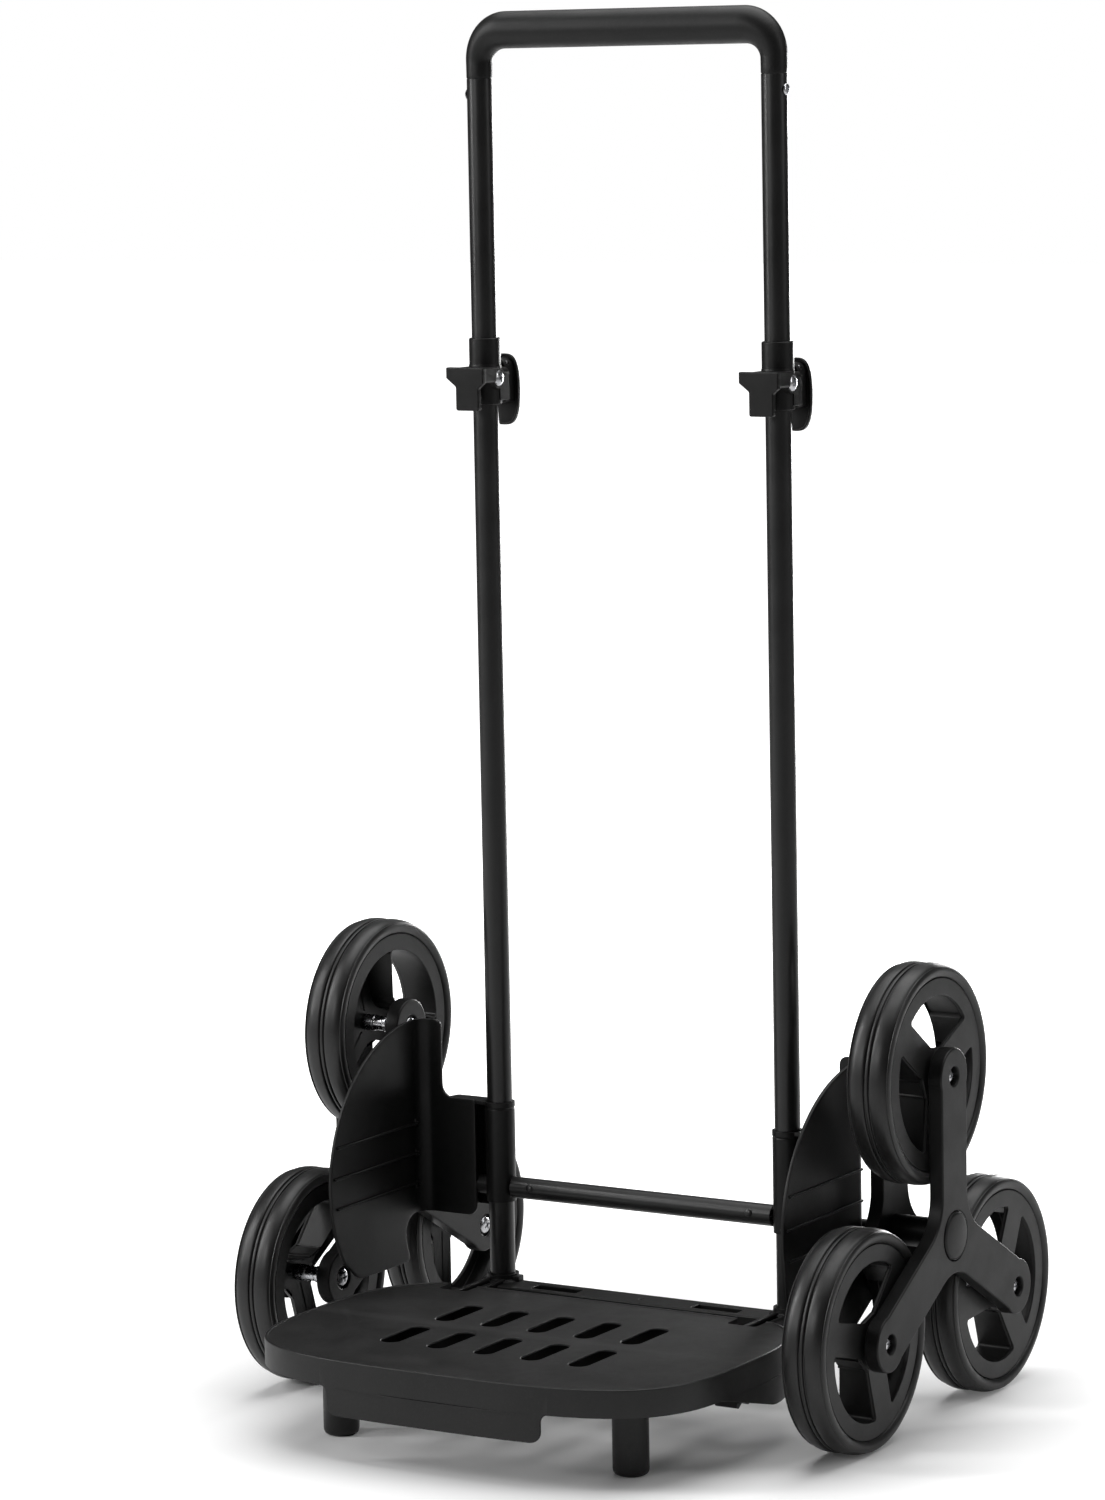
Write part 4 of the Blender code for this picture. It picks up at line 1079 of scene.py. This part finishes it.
def make_platform():
    outline = plate_outline()
    rim = slab(outline, RIM_FOOT, LIP_TOP, 0.0, 0.0011, [offset(outline, SKIRT)])
    slots = [slot_outline(column * SLOT_PITCH, row) for row in SLOT_ROWS for column in range(-2, 3)]
    deck = slab(offset(outline, SKIRT * 0.6), DECK_TOP - 0.0012, DECK_TOP, 0.0, 0.0004, slots)
    parts = [rim, deck, apron(outline), wing(outline, 1), wing(outline, -1)]
    cuts = []
    for _, side in SIDES:
        foot = (side * FOOT_X, FOOT_Y)
        parts.append(slab(circle(0.0160, foot, 40), RIM_FOOT + 0.001, DECK_TOP - 0.002, 0.0006, 0.0))
        for low, high in ((0.1055, 0.1110), (0.1352, 0.1396)):
            near, far = sorted((side * low, side * high))
            parts.append(block((near, -0.080, RIM_FOOT), (far, -0.0565, DECK_TOP - 0.001)))
        near, far = sorted((side * 0.147, side * 0.153))
        lug = block((near, -0.128, 0.0310), (far, -0.102, DECK_TOP - 0.001), 0.0008, 0.0015)
        parts.append(lug)
        hook = [(-0.1280, 0.0560, 0), (-0.1280, 0.0275, 0.001), (-0.1245, 0.0262, 0.001),
                (-0.1190, 0.0300, 0.002), (-0.1100, 0.0262, 0.001), (-0.1020, 0.0330, 0.002),
                (-0.1020, 0.0560, 0)]
        near, far = sorted((side * 0.1320, side * 0.1500))
        parts.append(slab(rounded(hook, 4), near, far, 0.0005, 0.0005, axis="X"))
        near, far = sorted((side * 0.1110, side * 0.1352))
        cuts.append(slab(oblong((near, -0.0725), (far, -0.045), 0.003, 0), RIM_FOOT - 0.01,
                         LIP_TOP + 0.01))
        cuts.append(slab(circle(0.0133, foot, 40), RIM_FOOT - 0.01, DECK_TOP - 0.0030))
    mesh = merged("platform", parts, cuts)
    stand_in("platform", mesh, PLATFORM_PLASTIC, place=ROOT)

    # ribs under the deck, just behind each row of slots; their near-black plastic is painted shade that
    # darkens what is seen through the slots
    ribs, rib_foot, rib_top, rib_wide = [], 0.0560, DECK_TOP - 0.0013, 0.0014
    for y in (-0.1045, -0.1775):
        ribs.append(block((-0.1020, y, rib_foot), (0.1020, y + rib_wide, rib_top), 0.0003, 0.0003))
    for x in (-0.1035, 0.1020):
        ribs.append(block((x, -0.2350, rib_foot), (x + rib_wide, -0.1020, rib_top), 0.0003, 0.0003))
    piece("slot_shade_ribs", merged("ribs", ribs), PAINTED_SHADE_PLASTIC, "platform", (),
          place=ROOT)

    foot_top = DECK_TOP - 0.0036
    profile = [(0, 0), (0.0085, 0), (0.0104, 0.0003), (0.0119, 0.0013), (0.0127, 0.0028), (0.0130, 0.0048),
               (0.0130, 0.0500), (0.0128, 0.0503), (0.0128, 0.0510), (0.0130, 0.0513), (0.0130, foot_top),
               (0, foot_top)]
    foot = as_mesh(spun(profile, 64), "foot")
    for name, side in SIDES:
        stand_in("foot_" + name, foot, PLATFORM_PLASTIC,
                 place=(side * FOOT_X, TUBE_Y + FOOT_Y, 0))
        low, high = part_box("hinge_pin_" + name)
        stand_in("hinge_pin_" + name, tube(0.0024, 0.0030, low.x, high.x, 0.0003, 32), ZINC,
                 place=(0, TUBE_Y + HINGE_Y, HINGE_Z))


def make_base_rail():
    windows = []
    for _, side in SIDES:
        low, high = sorted((side * 0.050, side * 0.088))
        windows.append((oblong((low, -0.0170), (high, -0.0050), 0.001, steps=3), 0.0570, []))
    windows.append((circle(0.0016, (0.004, -0.011), 20), 0.0630, []))
    beam = slab(oblong((-0.1150, -0.0240), (0.1150, 0.0030), 0.002), 0.0440, 0.0665, 0.0010, 0.0010,
                pockets=windows)
    ledge = block((-0.1020, -0.0285, 0.0470), (0.1020, -0.0230, 0.0500), 0.0006, 0.001)
    parts, cuts = [beam, ledge], []
    for _, side in SIDES:
        x = side * TUBE_X
        socket = spun(softened([(0.0154, 0.0400), (0.0154, 0.0670), (0.0124, 0.0676), (0.0122, 0.0714)],
                               0.0008), 56)
        parts.append(shifted(socket, (x, 0, 0)))
        parts.append(block((x + 0.0095, -0.0050, 0.0600), (x + 0.0165, 0.0035, 0.0706), 0.0008, 0.0012))
        for shift in (-0.0055, 0.0055):
            ear = arc((HINGE_Y, HINGE_Z), 0.0065, 90, 270, 14) + [(-0.006, 0.0560), (-0.006, 0.0690)]
            parts.append(slab(ear, x + shift - 0.0025, x + shift + 0.0025, 0.0018, 0.0018, axis="X"))
        cuts.append(rod(0.0098, 0.0463, 0.0800, 56, place=(x, 0, 0)))
        cuts.append(rod(0.0033, x - 0.012, x + 0.012, 24, "X", (0, HINGE_Y, HINGE_Z)))
    mesh = merged("base_rail", parts, cuts)
    stand_in("base_rail", mesh, FRAME_PLASTIC, place=ROOT)


def make_axle():
    low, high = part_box("main_axle")
    stand_in("main_axle", tube(0.0034, 0.0040, low.x, high.x, 0.0004, 40), ZINC,
             place=(0, TUBE_Y, AXLE_Z))


make_camera()
make_studio()
make_clusters()
make_tubes()
make_grip()
make_crossbar()
make_guards()
make_clamps()
make_platform()
make_base_rail()
make_axle()


for name, node in frame["nodes"].items():
    if node.hide_render:
        continue
    metal = any(word in name for word in ("axle", "screw", "pin", "rivet", "clip"))
    for slot in node.material_slots:
        slot.material = ZINC if metal else FRAME_PLASTIC
